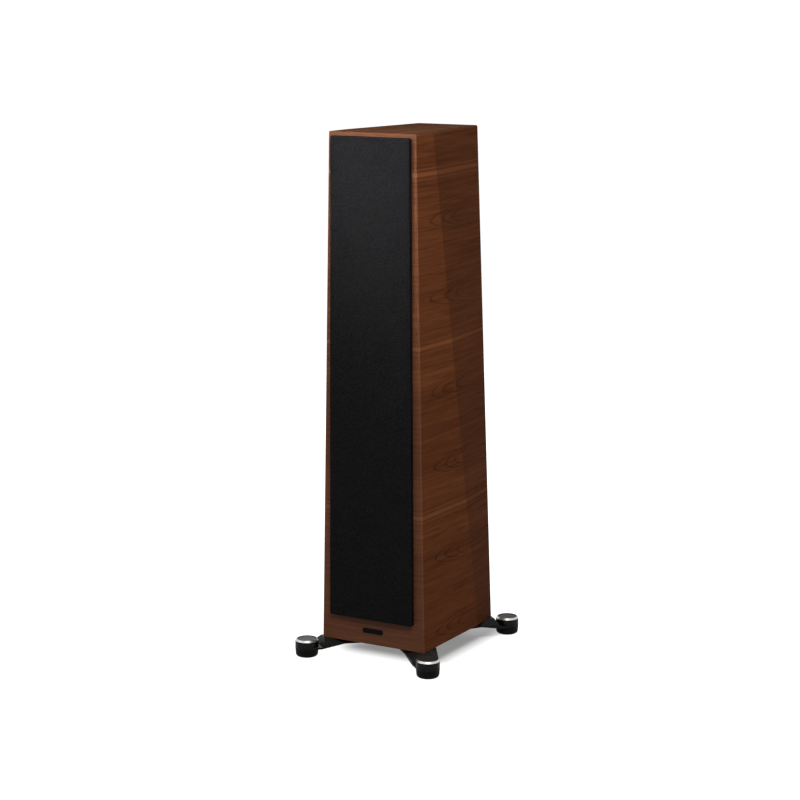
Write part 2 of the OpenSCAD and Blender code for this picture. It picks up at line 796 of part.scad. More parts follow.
module tweeter_motor() color(dark_steel) at_driver(tweeter_z) {
    lip_r = dome_r + dome_roll_w + dome_lip_w + roll_gap;
    plate_r = tweeter_magnet_r - motor_plate_inset;
    pole_r = dome_former_r - dome_former_gap;
    plate_in = dome_former_r + dome_former_t + dome_former_gap;
    magnet_z = tweeter_gap_z + plate_t;
    back_z = magnet_z + tweeter_magnet_h;
    turned([
        [0, tweeter_gap_z], [pole_r, tweeter_gap_z], [pole_r, back_z],
        [dome_r + magnet_bore, back_z], [dome_r + magnet_bore, magnet_z], [plate_in, magnet_z],
        [plate_in, tweeter_gap_z],
        [lip_r, tweeter_gap_z], [lip_r, tweeter_body_z], [plate_r, tweeter_body_z], [plate_r, magnet_z],
        [tweeter_magnet_r, magnet_z], [tweeter_magnet_r, back_z], [plate_r, back_z],
        [plate_r, tweeter_back_z], [0, tweeter_back_z]
    ]);
}

// Cast basket: flange, windowed cage, spider ledge, rear ring and a connection tab
module basket(d, side) color(satin_black) {
    tab_in = rear_ring_r(d) - tab_root;
    tab_out = tab_r(d) + tab_over;
    difference() {
        union() {
            turned([
                [ledge_r(d), 0], [flange_r(d), 0], [flange_r(d), flange_t], [basket_r(d), flange_t],
                [basket_r(d), cage_z], [rear_ring_r(d), rear_ring_z(d)], [rear_ring_r(d), depth(d)],
                [coil_r(d) + coil_clear, depth(d)], [coil_r(d) + coil_clear, rear_ring_z(d)],
                [rear_ring_r(d) - basket_t, rear_ring_z(d)],
                [cage_r(d, spider_z(d) + basket_t) - basket_t, spider_z(d) + basket_t],
                [cage_r(d, spider_z(d)) - basket_t - spider_ledge_w, spider_z(d) + basket_t],
                [cage_r(d, spider_z(d)) - basket_t - spider_ledge_w, spider_z(d)],
                [cage_r(d, spider_z(d)) - basket_t, spider_z(d)],
                [basket_r(d) - basket_t, cage_z], [basket_r(d) - basket_t, flange_t], [seat_r(d), flange_t],
                [seat_r(d), ledge_z], [ledge_r(d), ledge_z]
            ]);
            translate([side * (tab_in + tab_out) / 2, 0, rear_ring_z(d) + rear_ring_t / 2])
                cube([tab_out - tab_in, tab_w, rear_ring_t], center = true);
        }
        flange_screw_ring(d) screw_seat(flange_t);
        ring(window_count, 0)
            translate([0, -cone_r(d) / 3, cage_z + window_front])
                cube([flange_r(d), 2 * cone_r(d) / 3, spider_z(d) - cage_z - window_front - window_rear]);
    }
}

// Cone with its glued lip, dust cap, coil former and winding
module cone(d) color(cone_grey) {
    cap_r = coil_r(d) + dust_cap_over;
    inner_r = coil_r(d) - former_t;
    gap_z = depth(d);
    former_z = gap_z + plate_t + former_over;
    winding_r = coil_r(d) + winding_t;
    turned(concat(
        [[cone_r(d), ledge_z], [cone_r(d), ledge_z + cone_t], [cone_r(d) - lip_w, ledge_z + cone_t],
            [coil_r(d), cone_z(d, coil_r(d)) + cone_t], [coil_r(d), gap_z - winding_over],
            [winding_r, gap_z - winding_over], [winding_r, gap_z + plate_t + winding_over],
            [coil_r(d), gap_z + plate_t + winding_over], [coil_r(d), former_z], [inner_r, former_z]],
        [for (t = [1 : -0.2 : 0]) [inner_r * t, dust_cap_z(d, cap_r, inner_r * t) + cone_t]],
        [for (t = [0 : 0.2 : 1]) [cap_r * t, dust_cap_z(d, cap_r, cap_r * t)]],
        [[cone_r(d) - lip_w, ledge_z]]
    ));
}
function dust_cap_z(d, cap_r, r) = cone_z(d, cap_r) - dust_cap_h * (1 - pow(r / cap_r, 2));

// Half-roll surround with flat lips on the cone and on the basket's ledge
module surround(d) color(satin_black) {
    mid_r = cone_r(d) + roll_w / 2;
    base_z = ledge_z - lip_t;
    turned(concat(
        [[cone_r(d) - lip_w + 0.2, base_z], [cone_r(d) - lip_w + 0.2, ledge_z], [cone_r(d), ledge_z]],
        [for (a = [180 : -20 : 0]) [mid_r + (roll_w / 2 - roll_skin) * cos(a),
            base_z + roll_skin - (roll_w / 2) * sin(a)]],
        [[seat_r(d), ledge_z], [seat_r(d) + lip_w, ledge_z], [seat_r(d) + lip_w, base_z]],
        [for (a = [0 : 20 : 180]) [mid_r + roll_w / 2 * cos(a), base_z - roll_w / 2 * sin(a)]]
    ));
}

// Corrugated spider from the coil former to its ledge
module spider(d) color([0.6, 0.5, 0.25]) {
    inner_r = coil_r(d) + seat_gap;
    outer_r = cage_r(d, spider_z(d)) - basket_t - seat_gap;
    wave_r = outer_r - spider_ledge_w;
    line = [for (i = [0 : spider_waves])
        [inner_r + (wave_r - inner_r) * i / spider_waves, spider_z(d) - (i % 2) * spider_wave]];
    turned(concat(
        line, [[outer_r, spider_z(d)], [outer_r, spider_z(d) - spider_t]],
        [for (p = reversed(line)) p - [0, spider_t]]
    ));
}

// Motor: top plate, ring magnet, back plate and pole
module motor(d) color(dark_steel) {
    plate_r = magnet_r(d) - motor_plate_inset;
    plate_in = coil_r(d) + plate_gap;
    pole_r = coil_r(d) - former_t - pole_gap;
    magnet_z = depth(d) + plate_t;
    back_z = magnet_z + magnet_h(d);
    turned([
        [0, depth(d)], [pole_r, depth(d)], [pole_r, back_z], [coil_r(d) + magnet_bore, back_z],
        [coil_r(d) + magnet_bore, magnet_z], [plate_in, magnet_z], [plate_in, depth(d)], [plate_r, depth(d)],
        [plate_r, magnet_z], [magnet_r(d), magnet_z], [magnet_r(d), back_z], [plate_r, back_z],
        [plate_r, back_z + plate_t], [0, back_z + plate_t]
    ]);
}

module midrange_basket() at_driver(midrange_z) basket(midrange, 1);
module midrange_cone() at_driver(midrange_z) cone(midrange);
module midrange_surround() at_driver(midrange_z) surround(midrange);
module midrange_spider() at_driver(midrange_z) spider(midrange);
module midrange_motor() at_driver(midrange_z) motor(midrange);

module upper_woofer_basket() at_driver(upper_woofer_z) basket(woofer, -1);
module upper_woofer_cone() at_driver(upper_woofer_z) cone(woofer);
module upper_woofer_surround() at_driver(upper_woofer_z) surround(woofer);
module upper_woofer_spider() at_driver(upper_woofer_z) spider(woofer);
module upper_woofer_motor() at_driver(upper_woofer_z) motor(woofer);

module lower_woofer_basket() at_driver(lower_woofer_z) basket(woofer, 1);
module lower_woofer_cone() at_driver(lower_woofer_z) cone(woofer);
module lower_woofer_surround() at_driver(lower_woofer_z) surround(woofer);
module lower_woofer_spider() at_driver(lower_woofer_z) spider(woofer);
module lower_woofer_motor() at_driver(lower_woofer_z) motor(woofer);

// Gasket ring between a driver's flange and its recess, pierced by the screws
module gasket(cutout, flange, screws)
    translate([0, 0, flange_t]) difference() {
        cylinder(r = flange - gasket_inset, h = gasket_t);
        translate([0, 0, -1]) cylinder(r = cutout + gasket_inset, h = gasket_t + 2);
        ring(screws, flange - screw_inset, 180 / screws)
            translate([0, 0, -1]) cylinder(d = screw_d + 4 * fit_gap, h = gasket_t + 2, $fn = small_fn);
    }

module cone_driver_gasket(d) gasket(cutout_r(d), flange_r(d), flange_screws);

module driver_gaskets() color([0.15, 0.15, 0.15]) {
    at_driver(tweeter_z) gasket(tweeter_cutout_r, tweeter_r, tweeter_screws);
    at_driver(midrange_z) cone_driver_gasket(midrange);
    at_driver(upper_woofer_z) cone_driver_gasket(woofer);
    at_driver(lower_woofer_z) cone_driver_gasket(woofer);
}

module wood_screws() color(dark_steel) {
    at_driver(tweeter_z) ring(tweeter_screws, tweeter_r - screw_inset, 180 / tweeter_screws) wood_screw();
    at_driver(midrange_z) flange_screw_ring(midrange) wood_screw();
    for (z = [upper_woofer_z, lower_woofer_z])
        at_driver(z) flange_screw_ring(woofer) wood_screw();
    at_terminal_screws() wood_screw();
}

// Crossover board on four spacers
module crossover_board() color([0.2, 0.35, 0.2]) {
    translate([-board_w / 2, board_front_y, board_z - board_h / 2]) cube([board_w, board_t, board_h]);
    for (x = [-1, 1], z = [-1, 1])
        translate([x * (board_w / 2 - spacer_inset), board_back_y,
                board_z + z * (board_h / 2 - spacer_inset)])
            rotate([-90, 0, 0]) cylinder(d = spacer_d, h = spacer_h, $fn = small_fn);
}

// Stands its children on the board's front face, pointing to the front
module on_board(x, z) translate([x, board_front_y, board_z + z]) rotate([90, 0, 0]) children();

module crossover_coils() color(copper)
    for (p = [[-coil_x, large_coil_z, large_coil_r], [coil_x, large_coil_z, large_coil_r],
            [0, small_coil_z, small_coil_r]])
        on_board(p.x, p.y) difference() {
            cylinder(r = p.z, h = coil_h);
            translate([0, 0, -1]) cylinder(r = coil_bore_r, h = coil_h + 2, $fn = small_fn);
        }

module crossover_capacitors() color([0.75, 0.62, 0.3])
    for (p = [[-capacitor_x, large_capacitor_z, large_capacitor_r],
            [capacitor_x, large_capacitor_z, large_capacitor_r], [0, small_capacitor_z, small_capacitor_r]])
        on_board(p.x, p.y) cylinder(r = p.z, h = capacitor_h);

// Smooth curve through a lead's points
function curve_point(a, b, c, d, t) =
    b + (c - a) * t / 2 + (2 * a - 5 * b + 4 * c - d) * t * t / 2 + (3 * b - a - 3 * c + d) * t * t * t / 2;
function smooth(route, steps) = concat(
    [for (i = [0 : len(route) - 2], s = [0 : steps - 1]) curve_point(
        route[max(i - 1, 0)], route[i], route[i + 1], route[min(i + 2, len(route) - 1)], s / steps)],
    [route[len(route) - 1]]
);
function unit(v) = v / norm(v);

// Tube swept along a lead's route, with square ends
module lead(route) {
    sides = 8;
    last = len(route) - 1;
    path = smooth(route, 3);
    rings = len(path);
    function heading(i) =
        i == 0 ? unit(route[1] - route[0])
        : i == rings - 1 ? unit(route[last] - route[last - 1])
        : unit(path[i + 1] - path[i - 1]);
    points = [for (i = [0 : rings - 1])
        let (along = heading(i), across = unit(cross(along, [1, 0, 0])), up = cross(along, across))
        for (k = [0 : sides - 1])
            path[i] + lead_d / 2 * (cos(360 * k / sides) * across + sin(360 * k / sides) * up)];
    skin = [for (i = [0 : rings - 2], k = [0 : sides - 1])
        let (a = i * sides + k, b = i * sides + (k + 1) % sides)
        each [[a, a + sides, b], [b, a + sides, b + sides]]];
    polyhedron(points, concat(skin, [
        [for (k = [0 : sides - 1]) k],
        [for (k = [sides - 1 : -1 : 0]) (rings - 1) * sides + k]
    ]));
}

module internal_wiring() color([0.6, 0.12, 0.1]) for (route = leads) lead(route);

// Places a binding post's own frame
module at_post(side)
    translate([side * post_x, rear_y + terminal_t, terminal_z]) rotate([-90, 0, 0]) children();

module at_terminal_screws()
    for (x = [-1, 1], z = [-1, 1])
        translate([x * (terminal_w / 2 - terminal_screw_inset), rear_y + terminal_t,
                terminal_z + z * (terminal_h / 2 - terminal_screw_inset)])
            rotate([90, 0, 0]) children();

module terminal_plate() color(satin_black) difference() {
    translate([0, rear_y, terminal_z])
        rotate([-90, 0, 0]) rounded_plate(terminal_w, terminal_h, terminal_corner_r, terminal_t);
    for (s = [-1, 1])
        at_post(s) translate([0, 0, -terminal_t - 1]) cylinder(d = stud_d + 2 * fit_gap, h = terminal_t + 2);
    at_terminal_screws() screw_seat(terminal_t);
}

// Threaded studs with a collar outside, a nut inside and a socket in the outer end
module terminal_studs() color([0.8, 0.65, 0.3])
    for (s = [-1, 1])
        at_post(s) difference() {
            union() {
                translate([0, 0, -stud_inner]) cylinder(d = stud_d, h = stud_inner + stud_outer);
                cylinder(d = post_knob_d, h = collar_h);
                translate([0, 0, -terminal_t - stud_nut_h]) cylinder(d = stud_nut_d, h = stud_nut_h, $fn = 6);
            }
            translate([0, 0, stud_outer - socket_depth]) cylinder(d = socket_d, h = socket_depth + 1);
        }

module post_washer(side) color([0.8, 0.65, 0.3])
    at_post(side) translate([0, 0, collar_h]) difference() {
        cylinder(d = post_knob_d - 1, h = washer_t);
        translate([0, 0, -1]) cylinder(d = stud_d + 2 * fit_gap, h = washer_t + 2);
    }

// Knob with a fluted grip
module post_knob(side, tint) color(tint)
    at_post(side) translate([0, 0, collar_h + washer_t]) difference() {
        turned([
            [0, 0], [post_knob_d / 2 - knob_foot_bevel, 0], [post_knob_d / 2, knob_foot_bevel],
            [post_knob_d / 2, post_knob_h - knob_top_bevel],
            [post_knob_d / 2 - knob_top_bevel, post_knob_h], [0, post_knob_h]
        ]);
        translate([0, 0, -1]) cylinder(d = stud_d + 2 * run_gap, h = post_knob_h + 2);
        ring(flutes, post_knob_d / 2 + flute_offset)
            translate([0, 0, flute_rise]) cylinder(r = flute_r, h = post_knob_h, $fn = small_fn);
    }

module positive_post_washer() post_washer(-1);
module positive_post_knob() post_knob(-1, [0.6, 0.08, 0.07]);
module negative_post_washer() post_washer(1);
module negative_post_knob() post_knob(1, satin_black);

// Draws its children, made for the corner at +X +Y, at the corner named by two signs
module corner(side, end) {
    module lengthways() if (end < 0) mirror([0, 1, 0]) children(); else children();
    if (side < 0) mirror([1, 0, 0]) lengthways() children();
    else lengthways() children();
}

function foot_x(end) = (end < 0 ? front_foot_spread : rear_foot_spread) / 2;

// Foot's own frame: X points from the foot's centre in along its arm
module at_foot(side, end) corner(side, end) translate([foot_x(end), foot_y, 0]) children();

module at_arm(side, end) at_foot(side, end) rotate(180 + arm_heading) children();

module all_corners() for (s = [-1, 1], e = [-1, 1]) at_arm(s, e) children();

module arm_bolt_places()
    for (s = [-1, 1]) translate([bolt_reach, s * bolt_spacing / 2, 0]) children();

// Cast arm: a wedge in plan with sloping flanks, ramped down from the cabinet to the boss round
// the foot's screw
module arm(side, end) color(satin_black) at_arm(side, end) {
    under_z = bottom_z - arm_t;
    difference() {
        intersection() {
            linear_extrude(bottom_z) hull() {
                circle(foot_r, $fn = small_fn * 2);
                for (s = [-1, 1])
                    translate([arm_len - arm_corner_r, s * (arm_base_w / 2 - arm_corner_r)])
                        circle(arm_corner_r, $fn = small_fn);
            }
            translate([0, arm_base_w, 0]) rotate([90, 0, 0]) linear_extrude(2 * arm_base_w) polygon([
                [-foot_d, glide_h], [foot_r, glide_h], [foot_r + under_ramp_len, under_z],
                [2 * arm_len, under_z],
                [2 * arm_len, bottom_z], [foot_r + ramp_len, bottom_z], [foot_r + boss_ramp, boss_top_z],
                [-foot_d, boss_top_z]
            ]);
            half_space(flank_top, flank_normal);
            mirror([0, 1, 0]) half_space(flank_top, flank_normal);
        }
        translate([0, 0, glide_h - 1]) cylinder(d = journal_d + 2 * run_gap, h = boss_t + 2);
        arm_bolt_places() {
            translate([0, 0, under_z - 1]) cylinder(d = bolt_head_d + 2 * seat_gap, h = 1 + bolt_head_h);
            translate([0, 0, under_z]) cylinder(d = bolt_d + 4 * fit_gap, h = arm_t + 1, $fn = small_fn);
        }
    }
    translate([key_offset, 0, key_floor])
        cylinder(d = key_d, h = glide_h - key_floor + boss_t / 2, $fn = small_fn);
}

module front_left_arm() arm(-1, -1);
module front_right_arm() arm(1, -1);
module rear_left_arm() arm(-1, 1);
module rear_right_arm() arm(1, 1);

module arm_bolts() color(dark_steel)
    all_corners() arm_bolt_places() translate([0, 0, bottom_z - arm_t]) difference() {
        union() {
            cylinder(d = bolt_head_d, h = bolt_head_h);
            cylinder(d = bolt_d, h = arm_t + bolt_len, $fn = small_fn);
        }
        translate([0, 0, -1]) cylinder(d = bolt_d, h = 1 + bolt_head_h / 2, $fn = 6);
    }

// Open clips that hold the foot screws up against their bosses
module retaining_clips() color(bright_metal)
    all_corners() translate([0, 0, glide_h - clip_gap - clip_t]) difference() {
        cylinder(d = clip_d, h = clip_t);
        translate([0, 0, -1]) cylinder(d = groove_d + 2 * seat_gap, h = clip_t + 2);
        translate([-clip_d, seat_gap - groove_d / 2, -1])
            cube([clip_d, groove_d - 2 * seat_gap, clip_t + 2]);
    }

// Knob and screw of a foot: bright dished cap, black skirt, journal, clip groove and thread
module foot_knob(side, end) color(bright_metal) at_foot(side, end) turned([
    [0, cap_top_z - dish_depth], [foot_r - dish_edge - dish_depth, cap_top_z - dish_depth],
    [foot_r - dish_edge, cap_top_z], [foot_r - cap_chamfer, cap_top_z], [foot_r, cap_top_z - cap_chamfer],
    [foot_r, skirt_top_z + ring_groove], [foot_r - ring_groove, skirt_top_z],
    [foot_r, skirt_top_z - ring_groove], [foot_r, boss_top_z + ring_groove],
    [foot_r - ring_groove, boss_top_z],
    [journal_d / 2, boss_top_z], [journal_d / 2, glide_h], [groove_d / 2, glide_h],
    [groove_d / 2, glide_h - clip_t - 2 * clip_gap], [thread_d / 2, glide_h - clip_t - 2 * clip_gap],
    [thread_d / 2, screw_floor], [0, screw_floor]
]);

module front_left_foot_knob() foot_knob(-1, -1);
module front_right_foot_knob() foot_knob(1, -1);
module rear_left_foot_knob() foot_knob(-1, 1);
module rear_right_foot_knob() foot_knob(1, 1);

// Glide of a foot: a round-edged disc that the screw pushes down, keyed to the arm
module foot_glide(side, end) color(satin_black) at_arm(side, end) difference() {
    turned(concat(
        [[0, 0]],
        [for (a = [-90 : 15 : 0]) [foot_r - glide_taper - glide_round + glide_round * cos(a),
            glide_round + glide_round * sin(a)]],
        [[foot_r, glide_h], [0, glide_h]]
    ));
    translate([0, 0, screw_floor - 1]) cylinder(d = thread_d + 2 * run_gap, h = glide_h);
    translate([0, 0, glide_h - clip_pocket_h]) cylinder(d = clip_d + 2 * seat_gap, h = clip_pocket_h + 1);
    translate([key_offset, 0, screw_floor - 1])
        cylinder(d = key_d + 2 * run_gap, h = glide_h, $fn = small_fn);
}

module front_left_foot_glide() foot_glide(-1, -1);
module front_right_foot_glide() foot_glide(1, -1);
module rear_left_foot_glide() foot_glide(-1, 1);
module rear_right_foot_glide() foot_glide(1, 1);

front_baffle();
left_side_panel();
right_side_panel();
top_panel();
bottom_panel();
rear_panel();
chamber_partitions();
window_braces();
damping_pads();
port_tube();
badge_plate();
grille_frame();
grille_cloth();
grille_magnets();
baffle_magnets();
tweeter_faceplate();
tweeter_dome();
tweeter_motor();
midrange_basket();
midrange_cone();
midrange_surround();
midrange_spider();
midrange_motor();
upper_woofer_basket();
upper_woofer_cone();
upper_woofer_surround();
upper_woofer_spider();
upper_woofer_motor();
lower_woofer_basket();
lower_woofer_cone();
lower_woofer_surround();
lower_woofer_spider();
lower_woofer_motor();
driver_gaskets();
wood_screws();
crossover_board();
crossover_coils();
crossover_capacitors();
internal_wiring();
terminal_plate();
terminal_studs();
positive_post_washer();
positive_post_knob();
negative_post_washer();
negative_post_knob();
front_left_arm();
front_right_arm();
rear_left_arm();
rear_right_arm();
arm_bolts();
retaining_clips();
front_left_foot_knob();
front_right_foot_knob();
rear_left_foot_knob();
rear_right_foot_knob();
front_left_foot_glide();
front_right_foot_glide();
rear_left_foot_glide();
rear_right_foot_glide();
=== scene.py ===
"""Looks of a floorstanding loudspeaker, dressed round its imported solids.

The cabinet, drivers, terminals and feet keep their solids and get procedural finishes. The grille
cloth, the wadding and the badge are modelled here. Metres, +Z up, +Y towards the rear.
"""
import logging
import math
from dataclasses import dataclass
from enum import Enum

import bmesh
import bpy
from mathutils import Matrix, Vector


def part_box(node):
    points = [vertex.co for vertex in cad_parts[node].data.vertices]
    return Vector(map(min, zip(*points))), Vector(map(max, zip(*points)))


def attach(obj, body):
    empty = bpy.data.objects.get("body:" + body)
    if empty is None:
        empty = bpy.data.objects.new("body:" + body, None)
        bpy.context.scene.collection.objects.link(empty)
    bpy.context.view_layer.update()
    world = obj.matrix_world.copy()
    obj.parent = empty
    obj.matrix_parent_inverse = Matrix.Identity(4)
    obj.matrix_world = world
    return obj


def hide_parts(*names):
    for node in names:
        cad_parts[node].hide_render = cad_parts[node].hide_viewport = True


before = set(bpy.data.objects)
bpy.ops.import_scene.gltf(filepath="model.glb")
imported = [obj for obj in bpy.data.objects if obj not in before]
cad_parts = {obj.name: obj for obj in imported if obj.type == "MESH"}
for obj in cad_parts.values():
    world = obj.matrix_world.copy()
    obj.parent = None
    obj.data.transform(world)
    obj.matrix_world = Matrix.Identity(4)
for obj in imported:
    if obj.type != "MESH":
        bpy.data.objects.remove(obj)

LOG = logging.getLogger("loudspeaker")
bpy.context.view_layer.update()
TURN = 2 * math.pi
MM = 0.001
CORNER_STEPS = 6
SHARP_DEG = 40.0
CONE_DRIVERS = ("midrange", "upper_woofer", "lower_woofer")
FOOT_CORNERS = ("front_left", "front_right", "rear_left", "rear_right")

Colour = tuple[float, float, float, float]
Place = tuple[float, float, float]
Span = tuple[float, float]

BLACK: Colour = (0.0, 0.0, 0.0, 1.0)
WHITE: Colour = (1.0, 1.0, 1.0, 1.0)


def shade(red: int, green: int, blue: int) -> Colour:
    """Turns a display colour into the linear colour that a shader takes.

    Args:
        red: Red, from 0 to 255.
        green: Green, from 0 to 255.
        blue: Blue, from 0 to 255.

    Returns:
        The linear colour, with full alpha.
    """
    linear = [((c / 255 + 0.055) / 1.055) ** 2.4 if c > 10 else c / 255 / 12.92
              for c in (red, green, blue)]
    return (linear[0], linear[1], linear[2], 1.0)


def middle(node: str) -> Vector:
    """Gives the middle of a solid's box."""
    low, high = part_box(node)
    return (low + high) / 2


class Wire:
    """A shader value, on which arithmetic adds Math nodes."""

    def __init__(self, tree: bpy.types.NodeTree, socket: bpy.types.NodeSocket) -> None:
        """Holds a node's output in its tree."""
        self.tree = tree
        self.socket = socket

    def math(self, operation: str, *others: "Wire | float", flip: bool = False) -> "Wire":
        """Adds a Math node.

        Args:
            operation: The Math node's operation.
            others: The other operands, wires or numbers.
            flip: Whether this wire comes last.

        Returns:
            The node's output.
        """
        node = self.tree.nodes.new("ShaderNodeMath")
        node.operation = operation
        operands = [*others, self] if flip else [self, *others]
        for socket, operand in zip(node.inputs, operands):
            feed(self.tree, socket, operand)
        return Wire(self.tree, node.outputs[0])

    def __add__(self, other: "Wire | float") -> "Wire":
        """Adds."""
        return self.math("ADD", other)

    def __radd__(self, other: float) -> "Wire":
        """Adds to a number."""
        return self.math("ADD", other, flip=True)

    def __sub__(self, other: "Wire | float") -> "Wire":
        """Subtracts."""
        return self.math("SUBTRACT", other)

    def __rsub__(self, other: float) -> "Wire":
        """Subtracts from a number."""
        return self.math("SUBTRACT", other, flip=True)

    def __mul__(self, other: "Wire | float") -> "Wire":
        """Multiplies."""
        return self.math("MULTIPLY", other)

    def __rmul__(self, other: float) -> "Wire":
        """Multiplies a number."""
        return self.math("MULTIPLY", other, flip=True)

    def __truediv__(self, other: "Wire | float") -> "Wire":
        """Divides."""
        return self.math("DIVIDE", other)

    def __rtruediv__(self, other: float) -> "Wire":
        """Divides a number."""
        return self.math("DIVIDE", other, flip=True)

    def __pow__(self, other: float) -> "Wire":
        """Raises to a power."""
        return self.math("POWER", other)

    def size(self) -> "Wire":
        """Drops the sign."""
        return self.math("ABSOLUTE")

    def length(self, other: "Wire") -> "Wire":
        """Gives the length of a flat vector, of which this is one part."""
        return (self * self + other * other).math("SQRT")

    def centred(self) -> "Wire":
        """Moves a value of 0 to 1 so that it swings about 0."""
        return self - 0.5

    def clamped(self) -> "Wire":
        """Keeps the value from 0 to 1."""
        return self.math("MAXIMUM", 0.0).math("MINIMUM", 1.0)

    def step(self, low: float, high: float) -> "Wire":
        """Rises smoothly from 0 at low to 1 at high."""
        t = ((self - low) / (high - low)).clamped()
        return t * t * (3.0 - 2.0 * t)

    def ripple(self, spacing: float) -> "Wire":
        """Makes a wave from 0 to 1 of that spacing."""
        return 0.5 + 0.5 * (self * (TURN / spacing)).math("SINE")


Point = tuple[Wire, ...]


def feed(tree: bpy.types.NodeTree, socket: bpy.types.NodeSocket, value: object) -> None:
    """Links a wire to a socket, or sets a plain value on it.

    Args:
        tree: The tree that the socket is in.
        socket: The input to feed.
        value: A wire, a number or a colour.
    """
    if isinstance(value, Wire):
        tree.links.new(value.socket, socket)
    else:
        socket.default_value = value


class Shader:
    """The node tree of one material, and short ways to add to it."""

    def __init__(self, name: str) -> None:
        """Starts a material with its usual surface shader.

        Args:
            name: The material's name.
        """
        self.material = bpy.data.materials.new(name)
        self.material.use_nodes = True
        self.tree = self.material.node_tree
        self.surface = self.tree.nodes["Principled BSDF"]

    def node(self, kind: str, settings: dict | None = None, sockets: dict | None = None,
             output: int | str = 0) -> Wire:
        """Adds any node.

        Args:
            kind: The node's type.
            settings: Its properties, and "stops" for a ramp, which are set first.
            sockets: Values or wires for its inputs, by name or number.
            output: Which output to return.

        Returns:
            That output.
        """
        node = self.tree.nodes.new(kind)
        for key, value in (settings or {}).items():
            if key == "stops":
                self.set_stops(node.color_ramp, value)
            else:
                setattr(node, key, value)
        for key, value in (sockets or {}).items():
            feed(self.tree, node.inputs[key], value)
        return Wire(self.tree, node.outputs[output])

    @staticmethod
    def set_stops(ramp: bpy.types.ColorRamp, stops: list[tuple[float, Colour]]) -> None:
        """Gives a ramp its places and colours.

        Args:
            ramp: The ramp to change.
            stops: Each stop's place, from 0 to 1, and its colour.
        """
        while len(ramp.elements) < len(stops):
            ramp.elements.new(1.0)
        for element, (place, colour) in zip(ramp.elements, stops):
            element.position = place
            element.color = colour

    def place(self) -> tuple[Wire, Wire, Wire]:
        """Gives the Object coordinates X, Y and Z."""
        return self.split(self.node("ShaderNodeTexCoord", output="Object"))

    def facing(self) -> tuple[Wire, Wire, Wire]:
        """Gives the X, Y and Z of the way that each flat faces."""
        return self.split(self.node("ShaderNodeNewGeometry", output="True Normal"))

    def split(self, vector: Wire) -> tuple[Wire, Wire, Wire]:
        """Gives a vector's three parts."""
        parts = self.node("ShaderNodeSeparateXYZ", sockets={0: vector}).socket.node.outputs
        return Wire(self.tree, parts[0]), Wire(self.tree, parts[1]), Wire(self.tree, parts[2])

    def scaled(self, point: Point, scale: float | tuple[float, ...]) -> Wire:
        """Joins a point's parts into a vector, each times its scale.

        Args:
            point: Two or three parts; a third that is left out is 0.
            scale: One scale for all the parts, or one for each.

        Returns:
            The vector.
        """
        scales = scale if isinstance(scale, tuple) else (scale,) * len(point)
        parts = {i: part * times for i, (part, times) in enumerate(zip(point, scales))}
        return self.node("ShaderNodeCombineXYZ", sockets=parts)

    def noise(self, point: Point, scale: float | tuple[float, ...], detail: float = 3.0,
              roughness: float = 0.5) -> Wire:
        """Adds noise.

        Args:
            point: Where it is read.
            scale: Its scale, for all the point's parts or for each.
            detail: How many finer layers it has.
            roughness: How strong the finer layers are.

        Returns:
            The noise, from 0 to 1.
        """
        vector = self.scaled(point, scale)
        return self.node("ShaderNodeTexNoise", {"noise_dimensions": "3D"},
                         {"Vector": vector, "Scale": 1.0, "Detail": detail, "Roughness": roughness})

    def cells(self, point: Point, scale: float) -> Wire:
        """Adds the distance to scattered points.

        Args:
            point: Where it is read.
            scale: How close the scattered points lie.

        Returns:
            The distance, in the pattern's own scale.
        """
        vector = self.scaled(point, scale)
        return self.node("ShaderNodeTexVoronoi", {"voronoi_dimensions": "3D"},
                         {"Vector": vector, "Scale": 1.0}, output="Distance")

    def ramp(self, value: Wire, *stops: tuple[float, Colour]) -> Wire:
        """Turns a value into a colour."""
        return self.node("ShaderNodeValToRGB", {"stops": list(stops)}, {0: value})

    def blend(self, share: Wire, first: Wire | Colour, second: Wire | Colour) -> Wire:
        """Mixes two colours by a share of the second."""
        return self.node("ShaderNodeMix", {"data_type": "RGBA", "blend_type": "MIX"},
                         {0: share, 6: first, 7: second}, output=2)

    def relief(self, height: Wire, depth: float, strength: float) -> None:
        """Raises the surface by a height of 0 to 1 times depth, in metres."""
        sockets = {"Height": height, "Distance": depth, "Strength": strength}
        feed(self.tree, self.surface.inputs["Normal"], self.node("ShaderNodeBump", sockets=sockets))

    def set(self, **values: object) -> None:
        """Feeds the surface shader.

        Args:
            values: Wires or plain values by input, where base_color is Base Color.
        """
        for key, value in values.items():
            words = (w.upper() if w == "ior" else w.capitalize() for w in key.split("_"))
            feed(self.tree, self.surface.inputs[" ".join(words)], value)


@dataclass(frozen=True)
class Finish:
    """A finish, made into a material when it is first used."""

    name: str

    def material(self) -> bpy.types.Material:
        """Gives the finish's material.

        Returns:
            The material, which all pieces of this finish share.
        """
        found = bpy.data.materials.get(self.name)
        if found:
            return found
        shader = Shader(self.name)
        self.paint(shader)
        return shader.material

    def paint(self, s: Shader) -> None:
        """Adds the finish's nodes; each kind of finish has its own."""
        raise NotImplementedError

    def dress(self, *nodes: str) -> None:
        """Puts the finish on solids.

        Args:
            nodes: The solids' names.
        """
        for name in nodes:
            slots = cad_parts[name].data.materials
            slots.clear()
            slots.append(self.material())
            LOG.info("%s: %s", name, self.name)


class Grain(Enum):
    """How a veneer leaf lies on its panel."""

    WRAPPED = "runs from the front edge to the rear, and on round the corner"
    LENGTHWAYS = "runs from front to rear on a level panel"


